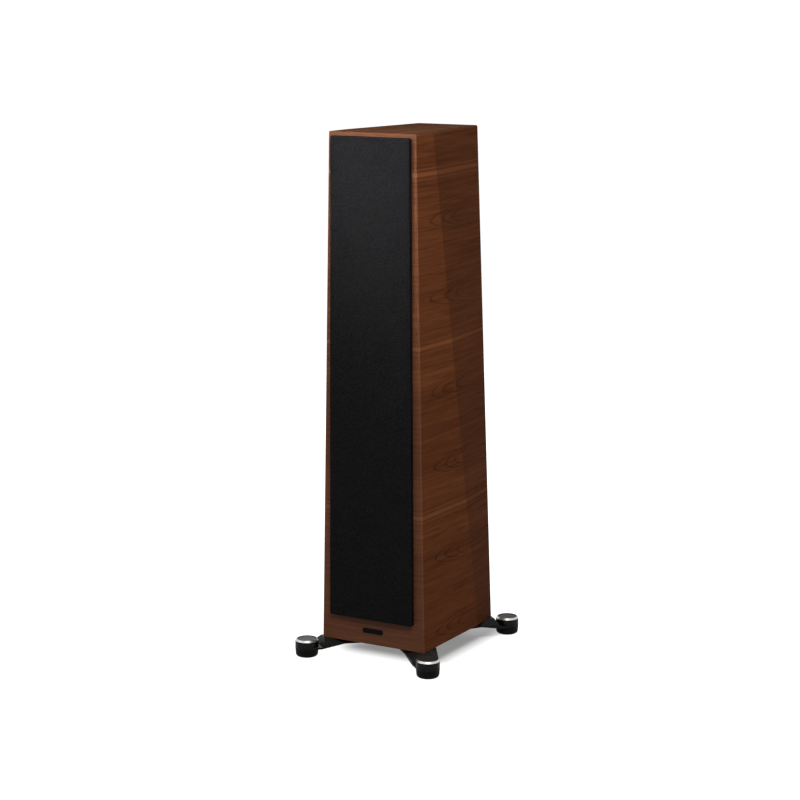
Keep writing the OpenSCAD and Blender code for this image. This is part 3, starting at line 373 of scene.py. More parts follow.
@dataclass(frozen=True)
class Veneer(Finish):
    """Satin-lacquered walnut in book-matched leaves with arched figure.

    A pattern's three scales run along the grain, across the leaf and across the panel; where it has
    two, the leaf's is left out.
    """

    grain: Grain = Grain.WRAPPED
    front_y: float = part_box("front_baffle")[0].y
    foot_z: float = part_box("front_baffle")[0].z
    foot_half: float = 0.107
    lean: float = 0.019978
    leaf: float = 0.152
    match_z: float = 0.281
    level: float = 0.002
    rough: float = 0.44
    depth: float = 0.03 * MM

    heart: float = 0.083
    heart_drift: float = 0.014
    tip: float = 0.036
    tip_drift: float = 0.10
    tip_blur: float = 0.012
    arch: float = 250.0
    arch_warp: float = 0.014
    ring: float = 0.044
    ring_power: float = 6.0
    ring_fade: Span = (0.07, 0.16)
    ring_share: float = 0.45
    ring_line_share: float = 0.35
    drift_scale: Span = (5.0, 9.0)
    warp_scale: Span = (14.0, 30.0)

    broad_scale: Place = (2.2, 26.0, 1.5)
    streak_scale: Place = (6.0, 190.0, 4.0)
    line_scale: Place = (11.0, 330.0, 9.0)
    line_edge: Span = (0.50, 0.64)
    fine_scale: Place = (22.0, 1500.0, 9.0)
    pore_scale: Span = (130.0, 3600.0)
    pore_edge: Span = (0.6, 0.72)

    joint_end: Span = (1.5 * MM, 5.5 * MM)
    joint_share: float = 0.8
    second_start: Span = (7.0 * MM, 8.5 * MM)
    second_end: Span = (9.5 * MM, 12.0 * MM)
    second_share: float = 0.3
    joint_least: float = 0.35
    joint_streaks: float = 0.6
    # Facing towards the rear over which the painted shade sets in.
    rear_shade_turn: Span = (0.04, 0.08)
    # Width of the painted highlight along the front corner edges.
    edge_highlight_span: Span = (0.5 * MM, 1.6 * MM)

    tone_base: float = 0.08
    broad_share: float = 0.26
    streak_share: float = 0.34
    fine_share: float = 0.24
    line_share: float = 0.27
    pore_share: float = 0.30
    # Share of the painted shade on faces turned towards the rear.
    rear_shade_share: float = 0.27
    # Share of the painted highlight along the front corner edges.
    edge_highlight_share: float = 0.09
    fine_rough: float = 0.10
    pore_rough: float = 0.06
    pore_dip: float = 0.5

    tone_stops: tuple[float, ...] = (0.30, 0.45, 0.55, 0.74)
    # Colour of the painted highlight along the front corner edges.
    edge_highlight_colour: Colour = shade(168, 124, 102)
    pale: Colour = shade(140, 86, 53)
    warm: Colour = shade(106, 61, 36)
    brown: Colour = shade(91, 50, 29)
    dark: Colour = shade(52, 28, 16)
    # Colour of the painted shade on faces turned towards the rear.
    deep: Colour = shade(44, 20, 6)

    def run(self, s: Shader) -> tuple[Wire, Wire, Wire]:
        """Follows the grain.

        Args:
            s: The shader to add to.

        Returns:
            The place along the grain, across the panel, and across from the nearest leaf joint.
        """
        x, y, z = s.place()
        if self.grain is Grain.WRAPPED:
            half = self.foot_half - self.lean * (z - self.foot_z)
            along = (y - self.front_y) + (x.size() - half)
            return along, z, (z - self.match_z).math("PINGPONG", self.leaf)
        return y - self.front_y, x, (x - self.leaf / 3).math("PINGPONG", self.leaf)

    def rings(self, s: Shader, along: Wire, across: Wire, leaf: Wire) -> Wire:
        """Draws the arched figure at each leaf's heart.

        Args:
            s: The shader to add to.
            along: Place along the grain.
            across: Place across the panel.
            leaf: Place across from the nearest leaf joint.

        Returns:
            The rings, from 0 to 1.
        """
        drift = s.noise((along, across), self.drift_scale, detail=2.0).centred()
        warp = s.noise((along, across), self.warp_scale).centred()
        heart = leaf - self.heart + self.heart_drift * drift
        arch = (along - self.tip - self.tip_drift * drift - self.arch * heart * heart
                + self.arch_warp * warp)
        inside = arch.step(-self.tip_blur, self.tip_blur) * (1.0 - arch.step(*self.ring_fade))
        return (arch.ripple(self.ring) ** self.ring_power) * inside

    def joints(self, leaf: Wire, streaks: Wire) -> Wire:
        """Draws the two pale lines beside each leaf joint.

        Args:
            leaf: Place across from the nearest leaf joint.
            streaks: Streaks that break the lines up.

        Returns:
            The lines, from 0 to 1.
        """
        first = 1.0 - leaf.step(*self.joint_end)
        second = leaf.step(*self.second_start) * (1.0 - leaf.step(*self.second_end))
        both = self.joint_share * first + self.second_share * second
        return both * (self.joint_least + self.joint_streaks * streaks)

    def paint(self, s: Shader) -> None:
        """Adds streaks, arched rings, pale joints, pores, lacquer, painted rear shade and a painted
        edge highlight.

        Args:
            s: The shader to add to.
        """
        along, across, leaf = self.run(s)
        here = (along, leaf, across)
        broad = s.noise(here, self.broad_scale)
        streaks = s.noise(here, self.streak_scale, detail=4.0, roughness=0.65)
        lines = s.noise(here, self.line_scale, roughness=0.7).step(*self.line_edge)
        fine = s.noise(here, self.fine_scale, roughness=0.6)
        pores = s.noise((along, across), self.pore_scale, detail=1.0).step(*self.pore_edge)
        tone = (self.tone_base + self.broad_share * broad + self.streak_share * streaks
                + self.fine_share * fine)
        wood = s.ramp(tone, *zip(self.tone_stops, (self.dark, self.brown, self.warm, self.pale)))
        rings = self.rings(s, along, across, leaf)
        # Painted shade: faces turned towards the rear are darkened towards deep.
        rear = s.facing()[1].step(*self.rear_shade_turn)
        # Painted highlight: a pale line along the front corner edges, where the edge catches the
        # light.
        edge = 1.0 - along.size().step(*self.edge_highlight_span)
        for share, colour in (
            (lines * self.line_share, self.dark),
            (rings * (self.ring_share + self.ring_line_share * lines), self.dark),
            (self.joints(leaf, streaks), self.pale),
            (pores * self.pore_share, self.dark),
            # painted shade on faces turned towards the rear
            (rear * self.rear_shade_share, self.deep),
            # painted highlight along the front corner edges
            (edge * self.edge_highlight_share, self.edge_highlight_colour),
        ):
            wood = s.blend(share, wood, colour)
        s.set(base_color=wood,
              roughness=self.rough + self.fine_rough * fine.centred() + self.pore_rough * pores,
              specular_ior_level=self.level)
        s.relief(fine - self.pore_dip * pores, self.depth, strength=0.5)


@dataclass(frozen=True)
class RawBoard(Finish):
    """Bare fibreboard: pale fibres and a soft mottle."""

    pale: Colour = shade(196, 160, 118)
    deep: Colour = shade(164, 126, 86)
    mottle_scale: float = 30.0
    fibre_scale: float = 900.0
    fibre_share: float = 0.4
    tone_ends: Span = (0.35, 0.65)
    rough: float = 0.8
    fibre_rough: float = 0.1
    depth: float = 0.1 * MM

    def paint(self, s: Shader) -> None:
        """Adds mottle and fibres.

        Args:
            s: The shader to add to.
        """
        here = s.place()
        mottle = s.noise(here, self.mottle_scale, detail=4.0)
        fibre = s.noise(here, self.fibre_scale, detail=2.0)
        tone = (1.0 - self.fibre_share) * mottle + self.fibre_share * fibre
        s.set(base_color=s.ramp(tone, *zip(self.tone_ends, (self.deep, self.pale))),
              roughness=self.rough + self.fibre_rough * fibre)
        s.relief(fibre, self.depth, strength=0.6)


@dataclass(frozen=True)
class Knit(Finish):
    """Acoustic cloth: a fine knit with a soft mottle and a few lighter yarns."""

    yarn: Colour = shade(56, 55, 56)
    gap: Colour = shade(5, 5, 6)
    pitch: float = 1.15 * MM
    row_share: float = 0.8
    wobble: float = 0.25 * MM
    wobble_scale: float = 220.0
    speck_scale: float = 520.0
    speck_floor: float = 0.32
    cloud_scale: float = 26.0
    loop_share: float = 0.14
    speck_share: float = 0.85
    cloud_share: float = 0.06
    rough: float = 0.86
    speck_rough: float = 0.12
    speck_rise: float = 0.3
    depth: float = 0.18 * MM

    def paint(self, s: Shader) -> None:
        """Adds loops, yarn by yarn variation and fuzz.

        Args:
            s: The shader to add to.
        """
        x, y, z = s.place()
        shift = self.wobble * s.noise((x, z), self.wobble_scale, detail=2.0).centred()
        loops = (x + shift).ripple(self.pitch) * (z + shift).ripple(self.pitch * self.row_share)
        speck = s.noise((x, z, y), self.speck_scale, detail=2.0, roughness=0.7)
        cloud = s.noise((x, z, y), self.cloud_scale)
        tone = (self.loop_share * loops + self.speck_share * (speck - self.speck_floor)
                + self.cloud_share * cloud.centred())
        s.set(base_color=s.blend(tone.clamped(), self.gap, self.yarn),
              roughness=self.rough - self.speck_rough * speck, specular_ior_level=0.0)
        s.relief(loops * (1.0 - self.speck_rise) + speck * self.speck_rise, self.depth, strength=0.7)


@dataclass(frozen=True)
class Moulded(Finish):
    """Moulded plastic or a powder coat, with a fine pebbled skin and worn spots."""

    colour: Colour = shade(30, 30, 31)
    worn: Colour = shade(52, 51, 50)
    rough: float = 0.45
    pebble: float = 900.0
    depth: float = 0.06 * MM
    metal: float = 0.0
    coat: float = 0.0
    level: float = 0.2
    wear_scale: float = 18.0
    wear_edge: Span = (0.45, 0.75)
    wear_share: float = 0.35
    skin_share: float = 0.25
    wear_rough: float = 0.16

    def paint(self, s: Shader) -> None:
        """Adds the pebbled skin and faint uneven wear.

        Args:
            s: The shader to add to.
        """
        here = s.place()
        skin = s.cells(here, self.pebble)
        wear = s.noise(here, self.wear_scale, detail=5.0)
        tone = wear.step(*self.wear_edge) * self.wear_share + self.skin_share * skin
        s.set(base_color=s.blend(tone.clamped(), self.colour, self.worn),
              roughness=self.rough + self.wear_rough * wear.centred(), metallic=self.metal,
              coat_weight=self.coat, coat_roughness=0.1, specular_ior_level=self.level)
        s.relief(skin, self.depth, strength=0.5)


class Lay(Enum):
    """Which way a metal is finished."""

    ACROSS = "brushed in straight lines across the part"
    TURNED = "turned on a lathe about the depth axis"
    LEVELS = "wound or ridged along the depth axis"


@dataclass(frozen=True)
class Metal(Finish):
    """Bare or anodised metal with brushed, turned or wound lines."""

    colour: Colour = shade(150, 152, 156)
    shadow: Colour = shade(92, 94, 98)
    lay: Lay = Lay.ACROSS
    rough: float = 0.32
    pitch: float = 0.9 * MM
    centres: tuple[float, ...] = (0.0,)
    brush_scale: Place = (25.0, 1900.0, 1900.0)
    turned_scale: Span = (1500.0, 40.0)
    wander: float = 0.1 * MM
    wander_scale: float = 60.0
    tarnish_scale: float = 22.0
    line_share: float = 0.45
    tarnish_share: float = 0.45
    line_rough: float = 0.14
    tarnish_rough: float = 0.12
    depth: float = 0.02 * MM

    def lines(self, s: Shader) -> Wire:
        """Draws the machining lines.

        Args:
            s: The shader to add to.

        Returns:
            The lines, from 0 to 1.
        """
        x, y, z = s.place()
        if self.lay is Lay.ACROSS:
            return s.noise((x, y, z), self.brush_scale)
        if self.lay is Lay.LEVELS:
            return (y + self.wander * s.noise((x, y, z), self.wander_scale)).ripple(self.pitch)
        nearest, *others = [x.length(z - centre) for centre in self.centres]
        for radius in others:
            nearest = nearest.math("MINIMUM", radius)
        return s.noise((nearest, nearest), self.turned_scale)

    def paint(self, s: Shader) -> None:
        """Adds the lines and a soft tarnish.

        Args:
            s: The shader to add to.
        """
        lines = self.lines(s)
        tarnish = s.noise(s.place(), self.tarnish_scale, detail=4.0)
        tone = self.line_share * lines + self.tarnish_share * tarnish
        s.set(base_color=s.blend(tone, self.colour, self.shadow), metallic=1.0,
              roughness=(self.rough + self.line_rough * lines.centred()
                         + self.tarnish_rough * tarnish.centred()))
        s.relief(lines, self.depth, strength=0.4)


@dataclass(frozen=True)
class FootCap(Finish):
    """Foot knob: black skirt, bright turned chamfer, and a dark brushed top."""

    bright: Colour = shade(198, 196, 192)
    black: Colour = shade(9, 9, 9)
    brushed: Colour = shade(48, 45, 42)
    front_reach: float = middle("front_right_foot_knob").x
    rear_reach: float = middle("rear_right_foot_knob").x
    foot_y: float = middle("rear_right_foot_knob").y
    between: Span = (-0.01, 0.01)
    rim: float = 18.5 * MM
    rim_blur: float = 0.1 * MM
    chamfer_z: float = 29.6 * MM
    chamfer_blur: float = 0.4 * MM
    brush_scale: Place = (30.0, 2600.0, 30.0)
    smudge_scale: float = 90.0
    line_share: float = 0.45
    rough: float = 0.34
    chamfer_polish: float = 0.04
    smudge_rough: float = 0.12
    line_rough: float = 0.08
    level: float = 0.015
    skirt_coat: float = 0.16
    depth: float = 0.03 * MM

    def paint(self, s: Shader) -> None:
        """Tells the zones apart by height and by the distance from the foot's axis.

        Args:
            s: The shader to add to.
        """
        x, y, z = s.place()
        beside = (x.size() - self.front_reach
                  + (self.front_reach - self.rear_reach) * y.step(*self.between))
        radius = beside.length(y.size() - self.foot_y)
        outer = radius.step(self.rim - self.rim_blur, self.rim + self.rim_blur)
        cap = z.step(self.chamfer_z, self.chamfer_z + self.chamfer_blur)
        chamfer = cap * outer
        top = cap * (1.0 - outer)
        lines = s.noise((x, y, z), self.brush_scale)
        smudge = s.noise((x, y, z), self.smudge_scale, detail=4.0)
        brushed = top * (1.0 - self.line_share + self.line_share * lines)
        dark = s.blend(brushed, self.black, self.brushed)
        s.set(base_color=s.blend(chamfer, dark, self.bright), metallic=chamfer,
              roughness=(self.rough - self.chamfer_polish * chamfer
                         + self.smudge_rough * smudge.centred() + self.line_rough * lines.centred()),
              coat_weight=self.skirt_coat * (1.0 - cap), coat_roughness=0.15,
              specular_ior_level=self.level)
        s.relief(lines * top, self.depth, strength=0.5)


@dataclass(frozen=True)
class Rubber(Finish):
    """Matt rubber with dust in its grain."""

    colour: Colour = shade(9, 9, 9)
    dust: Colour = shade(20, 19, 18)
    grain_scale: float = 1400.0
    dust_scale: float = 40.0
    dust_edge: Span = (0.5, 0.85)
    dust_share: float = 0.6
    rough: float = 0.52
    grain_rough: float = 0.2
    level: float = 0.05
    depth: float = 0.05 * MM

    def paint(self, s: Shader) -> None:
        """Adds grain and dust.

        Args:
            s: The shader to add to.
        """
        here = s.place()
        grain = s.noise(here, self.grain_scale, detail=2.0)
        dust = s.noise(here, self.dust_scale, detail=5.0).step(*self.dust_edge)
        s.set(base_color=s.blend(dust * self.dust_share, self.colour, self.dust),
              roughness=self.rough + self.grain_rough * grain, specular_ior_level=self.level)
        s.relief(grain, self.depth, strength=0.4)


@dataclass(frozen=True)
class Fibre(Finish):
    """Lofted or dipped fibre: wadding and spiders."""

    pale: Colour = shade(222, 219, 210)
    deep: Colour = shade(170, 166, 156)
    loft: float = 1.2 * MM
    tangle_scale: float = 260.0
    clump_scale: float = 28.0
    clump_share: float = 0.4
    tone_ends: Span = (0.35, 0.62)
    rough: float = 0.92
    tangle_rough: float = 0.1

    def paint(self, s: Shader) -> None:
        """Adds tangled fibres.

        Args:
            s: The shader to add to.
        """
        here = s.place()
        tangle = s.noise(here, self.tangle_scale, detail=6.0, roughness=0.7)
        clump = s.noise(here, self.clump_scale)
        tone = (1.0 - self.clump_share) * tangle + self.clump_share * clump
        s.set(base_color=s.ramp(tone, *zip(self.tone_ends, (self.deep, self.pale))),
              roughness=self.rough - self.tangle_rough * tangle, sheen_weight=0.25)
        s.relief(tangle, self.loft, strength=0.8)


VENEER = Veneer("walnut_veneer")
# Darker copy of the walnut for the front baffle, as painted shade, with a little more gloss.
SHADED_FRONT_VENEER = Veneer("walnut_front_veneer_shaded", level=0.08, pale=shade(122, 78, 50),
                      warm=shade(90, 54, 34), brown=shade(76, 44, 28), dark=shade(44, 25, 16))
# Much darker copy of the walnut for the top, as painted shade, with its grain running lengthways.
SHADED_TOP_VENEER = Veneer("walnut_top_veneer_shaded", grain=Grain.LENGTHWAYS, level=0.0, pale=shade(94, 63, 44),
                    warm=shade(71, 47, 32), brown=shade(61, 39, 27), dark=shade(35, 22, 16))
RAW_BOARD = RawBoard("raw_fibreboard")
CLOTH = Knit("grille_knit")
FRAME_PLASTIC = Moulded("grille_frame_plastic", colour=shade(24, 24, 25))
PLATE_PLASTIC = Moulded("textured_black_plastic", colour=shade(27, 27, 28), rough=0.5, pebble=1300.0)
BADGE_GLOSS = Moulded("badge_lacquer", colour=shade(9, 9, 10), worn=shade(15, 15, 16), rough=0.22,
                      depth=0.004 * MM, level=0.02)
ARM_COAT = Moulded("arm_powder_coat", colour=shade(18, 17, 16), worn=shade(30, 28, 26), rough=0.48,
                   pebble=1600.0, depth=0.04 * MM, level=0.06)
BASKET_COAT = Moulded("basket_coat", colour=shade(32, 32, 33), rough=0.36, pebble=2200.0, metal=0.3)
RUBBER = Rubber("black_rubber")
CONE_METAL = Metal("anodised_cone", colour=shade(142, 145, 150), shadow=shade(96, 99, 104),
                   lay=Lay.TURNED, rough=0.36,
                   centres=tuple(middle(driver + "_cone").z for driver in CONE_DRIVERS))
DOME_METAL = Metal("anodised_dome", colour=shade(168, 170, 174), shadow=shade(120, 122, 126),
                   lay=Lay.TURNED, rough=0.26, centres=(middle("tweeter_dome").z,))
MOTOR_STEEL = Metal("plated_steel", colour=shade(128, 126, 118), shadow=shade(84, 82, 78), rough=0.42)
MAGNET_NICKEL = Metal("nickel", colour=shade(186, 184, 178), shadow=shade(134, 132, 128), rough=0.24)
SCREW_BLACK = Metal("blackened_steel", colour=shade(52, 52, 54), shadow=shade(28, 28, 30), rough=0.38)
GOLD = Metal("gold_plate", colour=shade(226, 186, 104), shadow=shade(180, 140, 66), lay=Lay.LEVELS,
             rough=0.24, pitch=1.25 * MM)
COPPER = Metal("enamelled_copper", colour=shade(196, 112, 62), shadow=shade(122, 62, 32),
               lay=Lay.LEVELS)
RED_KNOB = Moulded("red_knob", colour=shade(150, 20, 20), worn=shade(176, 48, 44), rough=0.22,
                   coat=0.5, depth=0.01 * MM)
BLACK_KNOB = Moulded("black_knob", colour=shade(22, 22, 23), worn=shade(40, 40, 41), rough=0.22,
                     coat=0.5, depth=0.01 * MM)
CAPACITOR = Moulded("capacitor_sleeve", colour=shade(196, 166, 92), worn=shade(170, 138, 70),
                    rough=0.3)
BOARD = Moulded("circuit_board", colour=shade(40, 84, 50), worn=shade(58, 104, 64), rough=0.35,
                pebble=420.0)
LEAD = Moulded("lead_sleeve", colour=shade(146, 36, 32), worn=shade(120, 26, 24), rough=0.4)
FOOT_CAP = FootCap("foot_cap")
WADDING = Fibre("wadding")
SPIDER = Fibre("dipped_spider", pale=shade(190, 158, 88), deep=shade(146, 116, 58), loft=0.2 * MM)


def finish_piece(name: str, mesh: bmesh.types.BMesh, finish: Finish, body: str) -> bpy.types.Object:
    """Makes a mesh into a smooth-shaded piece that rides on a body.

    Args:
        name: The piece's name.
        mesh: Its mesh, in place.
        finish: Its finish.
        body: The body that it moves with.

    Returns:
        The piece.
    """
    bmesh.ops.recalc_face_normals(mesh, faces=mesh.faces)
    data = bpy.data.meshes.new(name)
    mesh.to_mesh(data)
    mesh.free()
    data.materials.append(finish.material())
    data.shade_smooth()
    data.set_sharp_from_angle(angle=math.radians(SHARP_DEG))
    piece = bpy.data.objects.new(name, data)
    bpy.context.scene.collection.objects.link(piece)
    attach(piece, body)
    LOG.info("%s: %d faces", name, len(data.polygons))
    return piece


def rounded_slab(low: Vector, high: Vector, top_half: float, corner: float, edge: float,
                 edge_steps: int) -> bmesh.types.BMesh:
    """Makes an upright slab with rounded corners and a rounded front edge.

    Args:
        low: The low corner of its box, on the front.
        high: The high corner of its box, on the back.
        top_half: Half its width at the top.
        corner: The radius of its four corners.
        edge: The radius of its front edge.
        edge_steps: Segments in the front edge.

    Returns:
        The slab's mesh.
    """
    mesh = bmesh.new()
    outline = ((low.x, low.z), (high.x, low.z), (top_half, high.z), (-top_half, high.z))
    points = [mesh.verts.new((x, high.y, z)) for x, z in outline]
    mesh.faces.new(points)
    bmesh.ops.bevel(mesh, geom=points, offset=corner, offset_type="OFFSET", segments=CORNER_STEPS,
                    profile=0.5, affect="VERTICES", material=-1)
    made = bmesh.ops.extrude_face_region(mesh, geom=mesh.faces[:])["geom"]
    front = next(part for part in made if isinstance(part, bmesh.types.BMFace))
    bmesh.ops.translate(mesh, vec=(0, low.y - high.y, 0), verts=front.verts[:])
    bmesh.ops.bevel(mesh, geom=front.edges[:], offset=edge, segments=edge_steps, profile=0.5,
                    affect="EDGES", material=-1)
    return mesh


@dataclass
class Cabinet:
    """Veneered cabinet with its inner boards, wadding, port and badge."""

    pad_spans: tuple[Span, ...] = ((0.342, 0.390), (0.470, 0.520), (0.536, 0.680), (0.696, 0.822))
    pad_crown: float = 6 * MM
    pad_pull: float = 2.5 * MM
    pad_cuts: int = 7
    badge_corner: float = 3 * MM
    badge_edge: float = 0.4 * MM
    badge_edge_steps: int = 3
    badge_rim: float = 0.7 * MM
    badge_slope: float = 0.15 * MM
    badge_sink: float = 0.25 * MM

    def dress(self) -> None:
        """Puts finishes on the cabinet's solids."""
        VENEER.dress("left_side_panel", "right_side_panel", "rear_panel")
        SHADED_FRONT_VENEER.dress("front_baffle")
        SHADED_TOP_VENEER.dress("top_panel")
        RAW_BOARD.dress("bottom_panel", "chamber_partitions", "window_braces")
        PLATE_PLASTIC.dress("port_tube")

    def badge(self) -> None:
        """Builds the blank badge: a rimmed plate with a sunk field."""
        low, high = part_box("badge_plate")
        mesh = rounded_slab(low, high, high.x, self.badge_corner, self.badge_edge,
                            self.badge_edge_steps)
        front = min(mesh.faces, key=lambda f: f.calc_center_median().y)
        bmesh.ops.inset_region(mesh, faces=[front], thickness=self.badge_rim, use_even_offset=True)
        bmesh.ops.inset_region(mesh, faces=[front], thickness=self.badge_slope,
                               depth=-self.badge_sink)
        piece = finish_piece("badge_face", mesh, BADGE_GLOSS, "cabinet")
        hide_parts("badge_plate")

    def wadding(self) -> None:
        """Builds the crowned wadding pads that lie on the rear panel."""
        low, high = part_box("damping_pads")
        mesh = bmesh.new()
        for foot, top in self.pad_spans:
            size = Vector((high.x - low.x, high.y - low.y - self.pad_crown, top - foot))
            centre = Vector((0, high.y - size.y / 2, (foot + top) / 2))
            placing = Matrix.Translation(centre) @ Matrix.Diagonal((*size, 1))
            pad = bmesh.ops.create_cube(mesh, size=1, matrix=placing)["verts"]
            edges = list({e for v in pad for e in v.link_edges})
            bmesh.ops.subdivide_edges(mesh, edges=edges, cuts=self.pad_cuts, use_grid_fill=True)
            for point in [v for v in mesh.verts if foot - MM < v.co.z < top + MM]:
                self.crown(point, centre, size)
        piece = finish_piece("wadding_pads", mesh, WADDING, "cabinet")
        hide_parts("damping_pads")

    def crown(self, point: bmesh.types.BMVert, centre: Vector, size: Vector) -> None:
        """Swells a pad's front and draws in its sides between the corners.

        Args:
            point: The pad's point to move.
            centre: The middle of the pad before it swells.
            size: The pad's size before it swells.
        """
        across = 2 * (point.co.x - centre.x) / size.x
        upward = 2 * (point.co.z - centre.z) / size.z
        front = (centre.y + size.y / 2 - point.co.y) / size.y
        point.co.y -= front * self.pad_crown * (1 - across ** 4) * (1 - upward ** 4)
        point.co.x -= across ** 3 * self.pad_pull * (1 - upward ** 2)
        point.co.z -= upward ** 3 * self.pad_pull * (1 - across ** 2)


@dataclass
class Grille:
    """Cloth-covered frame that pulls off forwards."""

    top_half: float = 0.080
    corner: float = 4 * MM
    edge_round: float = 2.2 * MM
    edge_steps: int = 5
    cloth: float = 0.8 * MM

    def dress(self) -> None:
        """Puts finishes on the frame and its magnets."""
        FRAME_PLASTIC.dress("grille_frame")
        MAGNET_NICKEL.dress("grille_magnets", "baffle_magnets")

    def cover(self) -> None:
        """Builds the stretched cloth: a rounded front, wrapped to the back of the frame."""
        low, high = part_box("grille_cloth")
        mesh = rounded_slab(low, high, self.top_half, self.corner, self.edge_round, self.edge_steps)
        back = max(mesh.faces, key=lambda f: f.calc_center_median().y)
        bmesh.ops.delete(mesh, geom=[back], context="FACES_ONLY")
        area = sum(f.calc_area() for f in mesh.faces)
        bmesh.ops.recalc_face_normals(mesh, faces=mesh.faces)
        if max(mesh.faces, key=lambda f: f.calc_area()).normal.y > 0:
            bmesh.ops.reverse_faces(mesh, faces=mesh.faces)
        bmesh.ops.solidify(mesh, geom=mesh.faces[:], thickness=self.cloth)
        piece = finish_piece("grille_cover", mesh, CLOTH, "grille")
        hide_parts("grille_cloth")


@dataclass
class Drivers:
    """Tweeter, midrange and woofers."""

    cone_drivers: tuple[str, ...] = CONE_DRIVERS

    def dress(self) -> None:
        """Puts finishes on the drivers."""
        PLATE_PLASTIC.dress("tweeter_faceplate")
        DOME_METAL.dress("tweeter_dome")
        MOTOR_STEEL.dress("tweeter_motor", *(d + "_motor" for d in self.cone_drivers))
        BASKET_COAT.dress(*(d + "_basket" for d in self.cone_drivers))
        CONE_METAL.dress(*(d + "_cone" for d in self.cone_drivers))
        RUBBER.dress("driver_gaskets", *(d + "_surround" for d in self.cone_drivers))
        SPIDER.dress(*(d + "_spider" for d in self.cone_drivers))
        SCREW_BLACK.dress("wood_screws")


@dataclass
class Electrics:
    """Crossover, leads and binding posts."""

    def dress(self) -> None:
        """Puts finishes on the electrical parts."""
        BOARD.dress("crossover_board")
        COPPER.dress("crossover_coils")
        CAPACITOR.dress("crossover_capacitors")
        LEAD.dress("internal_wiring")
        PLATE_PLASTIC.dress("terminal_plate")
        GOLD.dress("terminal_studs", "positive_post_washer", "negative_post_washer")
        RED_KNOB.dress("positive_post_knob")
        BLACK_KNOB.dress("negative_post_knob")


@dataclass
class Base:
    """Outrigger arms and levelling feet."""

    corners: tuple[str, ...] = FOOT_CORNERS

    def dress(self) -> None:
        """Puts finishes on the arms and feet."""
        ARM_COAT.dress(*(c + "_arm" for c in self.corners))
        FOOT_CAP.dress(*(c + "_foot_knob" for c in self.corners))
        RUBBER.dress(*(c + "_foot_glide" for c in self.corners))
        SCREW_BLACK.dress("arm_bolts")
        MAGNET_NICKEL.dress("retaining_clips")


@dataclass(frozen=True)
class Lamp:
    """A soft square lamp aimed at the loudspeaker."""

    name: str
    place: Place
    aim: Place
    width: float
    watts: float
    spread_deg: float = 180.0

    def build(self) -> None:
        """Hangs the lamp."""
        data = bpy.data.lights.new(self.name, "AREA")
        data.size = self.width
        data.energy = self.watts
        data.spread = math.radians(self.spread_deg)
        lamp = bpy.data.objects.new(self.name, data)
        lamp.location = self.place
        sight = Vector(self.aim) - Vector(self.place)
        lamp.rotation_euler = sight.to_track_quat("-Z", "Y").to_euler()
        bpy.context.scene.collection.objects.link(lamp)


LAMPS = (
    Lamp("key_lamp", place=(0.85, -1.35, 2.0), aim=(0.0, 0.0, 1.5), width=0.8, watts=53.0),
    Lamp("left_lamp", place=(-2.2, -2.0, 2.0), aim=(0.0, 0.0, 0.7), width=1.4, watts=24.0),
    Lamp("brow_lamp", place=(-0.45, -1.0, 1.40), aim=(0.0, -0.13, 0.90), width=0.3, watts=0.85,
         spread_deg=28.0),
    Lamp("top_lamp", place=(0.0, 0.0, 3.4), aim=(0.0, 0.0, 0.0), width=2.2, watts=18.0),
    Lamp("rear_lamp", place=(-1.9, 2.2, 1.9), aim=(0.0, 0.0, 0.6), width=1.6, watts=55.0),
)


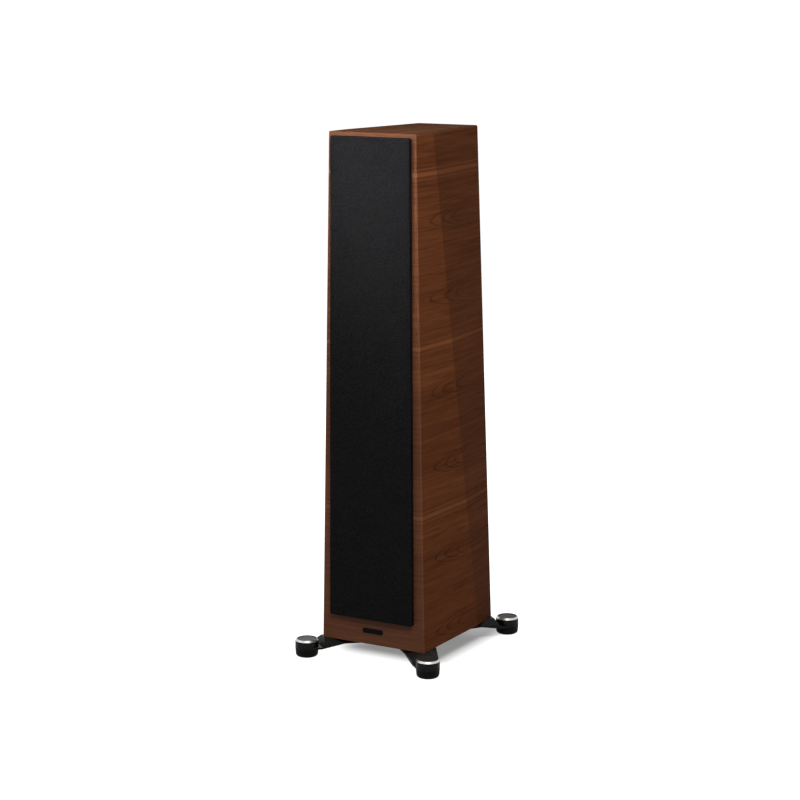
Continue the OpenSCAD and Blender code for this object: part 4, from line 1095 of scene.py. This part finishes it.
@dataclass
class Studio:
    """White floor, soft lamps, and the camera of the photograph."""

    eye: Place = (1.9791, -3.4595, 1.2183)
    pitch_deg: float = 10.71
    heading_deg: float = 30.03
    lens: float = 99.58
    sensor: float = 36.0
    lamps: tuple[Lamp, ...] = LAMPS
    fill: float = 0.14
    floor_size: float = 300.0
    floor_colour: Colour = shade(168, 168, 168)
    # Painted shadow patch: less white lift round the footprint, shifted to where the shadow falls.
    near_lift: float = 0.25
    footprint: Span = (0.082, 0.112)
    shadow_shift: Span = (0.005, 0.055)
    fade: Span = (0.0, 0.055)

    def build(self) -> None:
        """Builds the floor, the lights and the camera."""
        bpy.context.scene.view_settings.view_transform = "Standard"
        self.floor()
        self.world()
        for lamp in self.lamps:
            lamp.build()
        self.camera()

    def floor(self) -> None:
        """Lays a floor that the camera sees as white, that keeps the shadow and has a painted shadow
        patch.
        """
        mesh = bmesh.new()
        bmesh.ops.create_grid(mesh, x_segments=1, y_segments=1, size=self.floor_size / 2)
        data = bpy.data.meshes.new("floor")
        mesh.to_mesh(data)
        mesh.free()
        s = Shader("floor_white")
        s.set(base_color=self.floor_colour, roughness=0.9, specular_ior_level=0.0)
        # Painted shadow patch, partly real: within the shifted footprint the camera's white lift
        # drops to near_lift, and the real shadow shows there too.
        beside, before = [
            ((place - shift).size() - half).math("MAXIMUM", 0.0)
            for place, shift, half in zip(s.place(), self.shadow_shift, self.footprint)
        ]
        away = beside.length(before).step(*self.fade)
        lift = self.seen(s.tree) * (self.near_lift + (1.0 - self.near_lift) * away)
        s.set(emission_color=s.blend(lift, BLACK, WHITE), emission_strength=1.0)
        data.materials.append(s.material)
        floor = bpy.data.objects.new("floor", data)
        bpy.context.scene.collection.objects.link(floor)

    @staticmethod
    def seen(tree: bpy.types.NodeTree) -> Wire:
        """Tells the rays that show the background.

        Args:
            tree: The tree to add to.

        Returns:
            1 for rays from the camera, from gloss or through glass, and 0 for others.
        """
        path = tree.nodes.new("ShaderNodeLightPath").outputs
        camera, gloss, glass = [Wire(tree, path[f"Is {kind} Ray"])
                                for kind in ("Camera", "Glossy", "Transmission")]
        return (camera + gloss + glass).clamped()

    def world(self) -> None:
        """Lights from all round, with white behind the object."""
        world = bpy.data.worlds.new("studio")
        bpy.context.scene.world = world
        world.use_nodes = True
        tree = world.node_tree
        background = tree.nodes["Background"].inputs
        feed(tree, background["Color"], WHITE)
        feed(tree, background["Strength"], self.seen(tree) * (1.0 - self.fill) + self.fill)

    def camera(self) -> None:
        """Stands the camera where the photograph was taken."""
        data = bpy.data.cameras.new("camera")
        data.lens = self.lens
        data.sensor_width = self.sensor
        camera = bpy.data.objects.new("camera", data)
        camera.location = self.eye
        camera.rotation_euler = (math.radians(90 - self.pitch_deg), 0.0,
                                 math.radians(self.heading_deg))
        bpy.context.scene.collection.objects.link(camera)
        bpy.context.scene.camera = camera


def main() -> None:
    """Builds the studio and the loudspeaker, part by part."""
    logging.basicConfig(level=logging.INFO, format="%(name)s %(message)s")
    Studio().build()
    cabinet = Cabinet()
    cabinet.dress()
    cabinet.badge()
    cabinet.wadding()
    grille = Grille()
    grille.dress()
    grille.cover()
    for part in (Drivers(), Electrics(), Base()):
        part.dress()


if __name__ == "__main__":
    main()
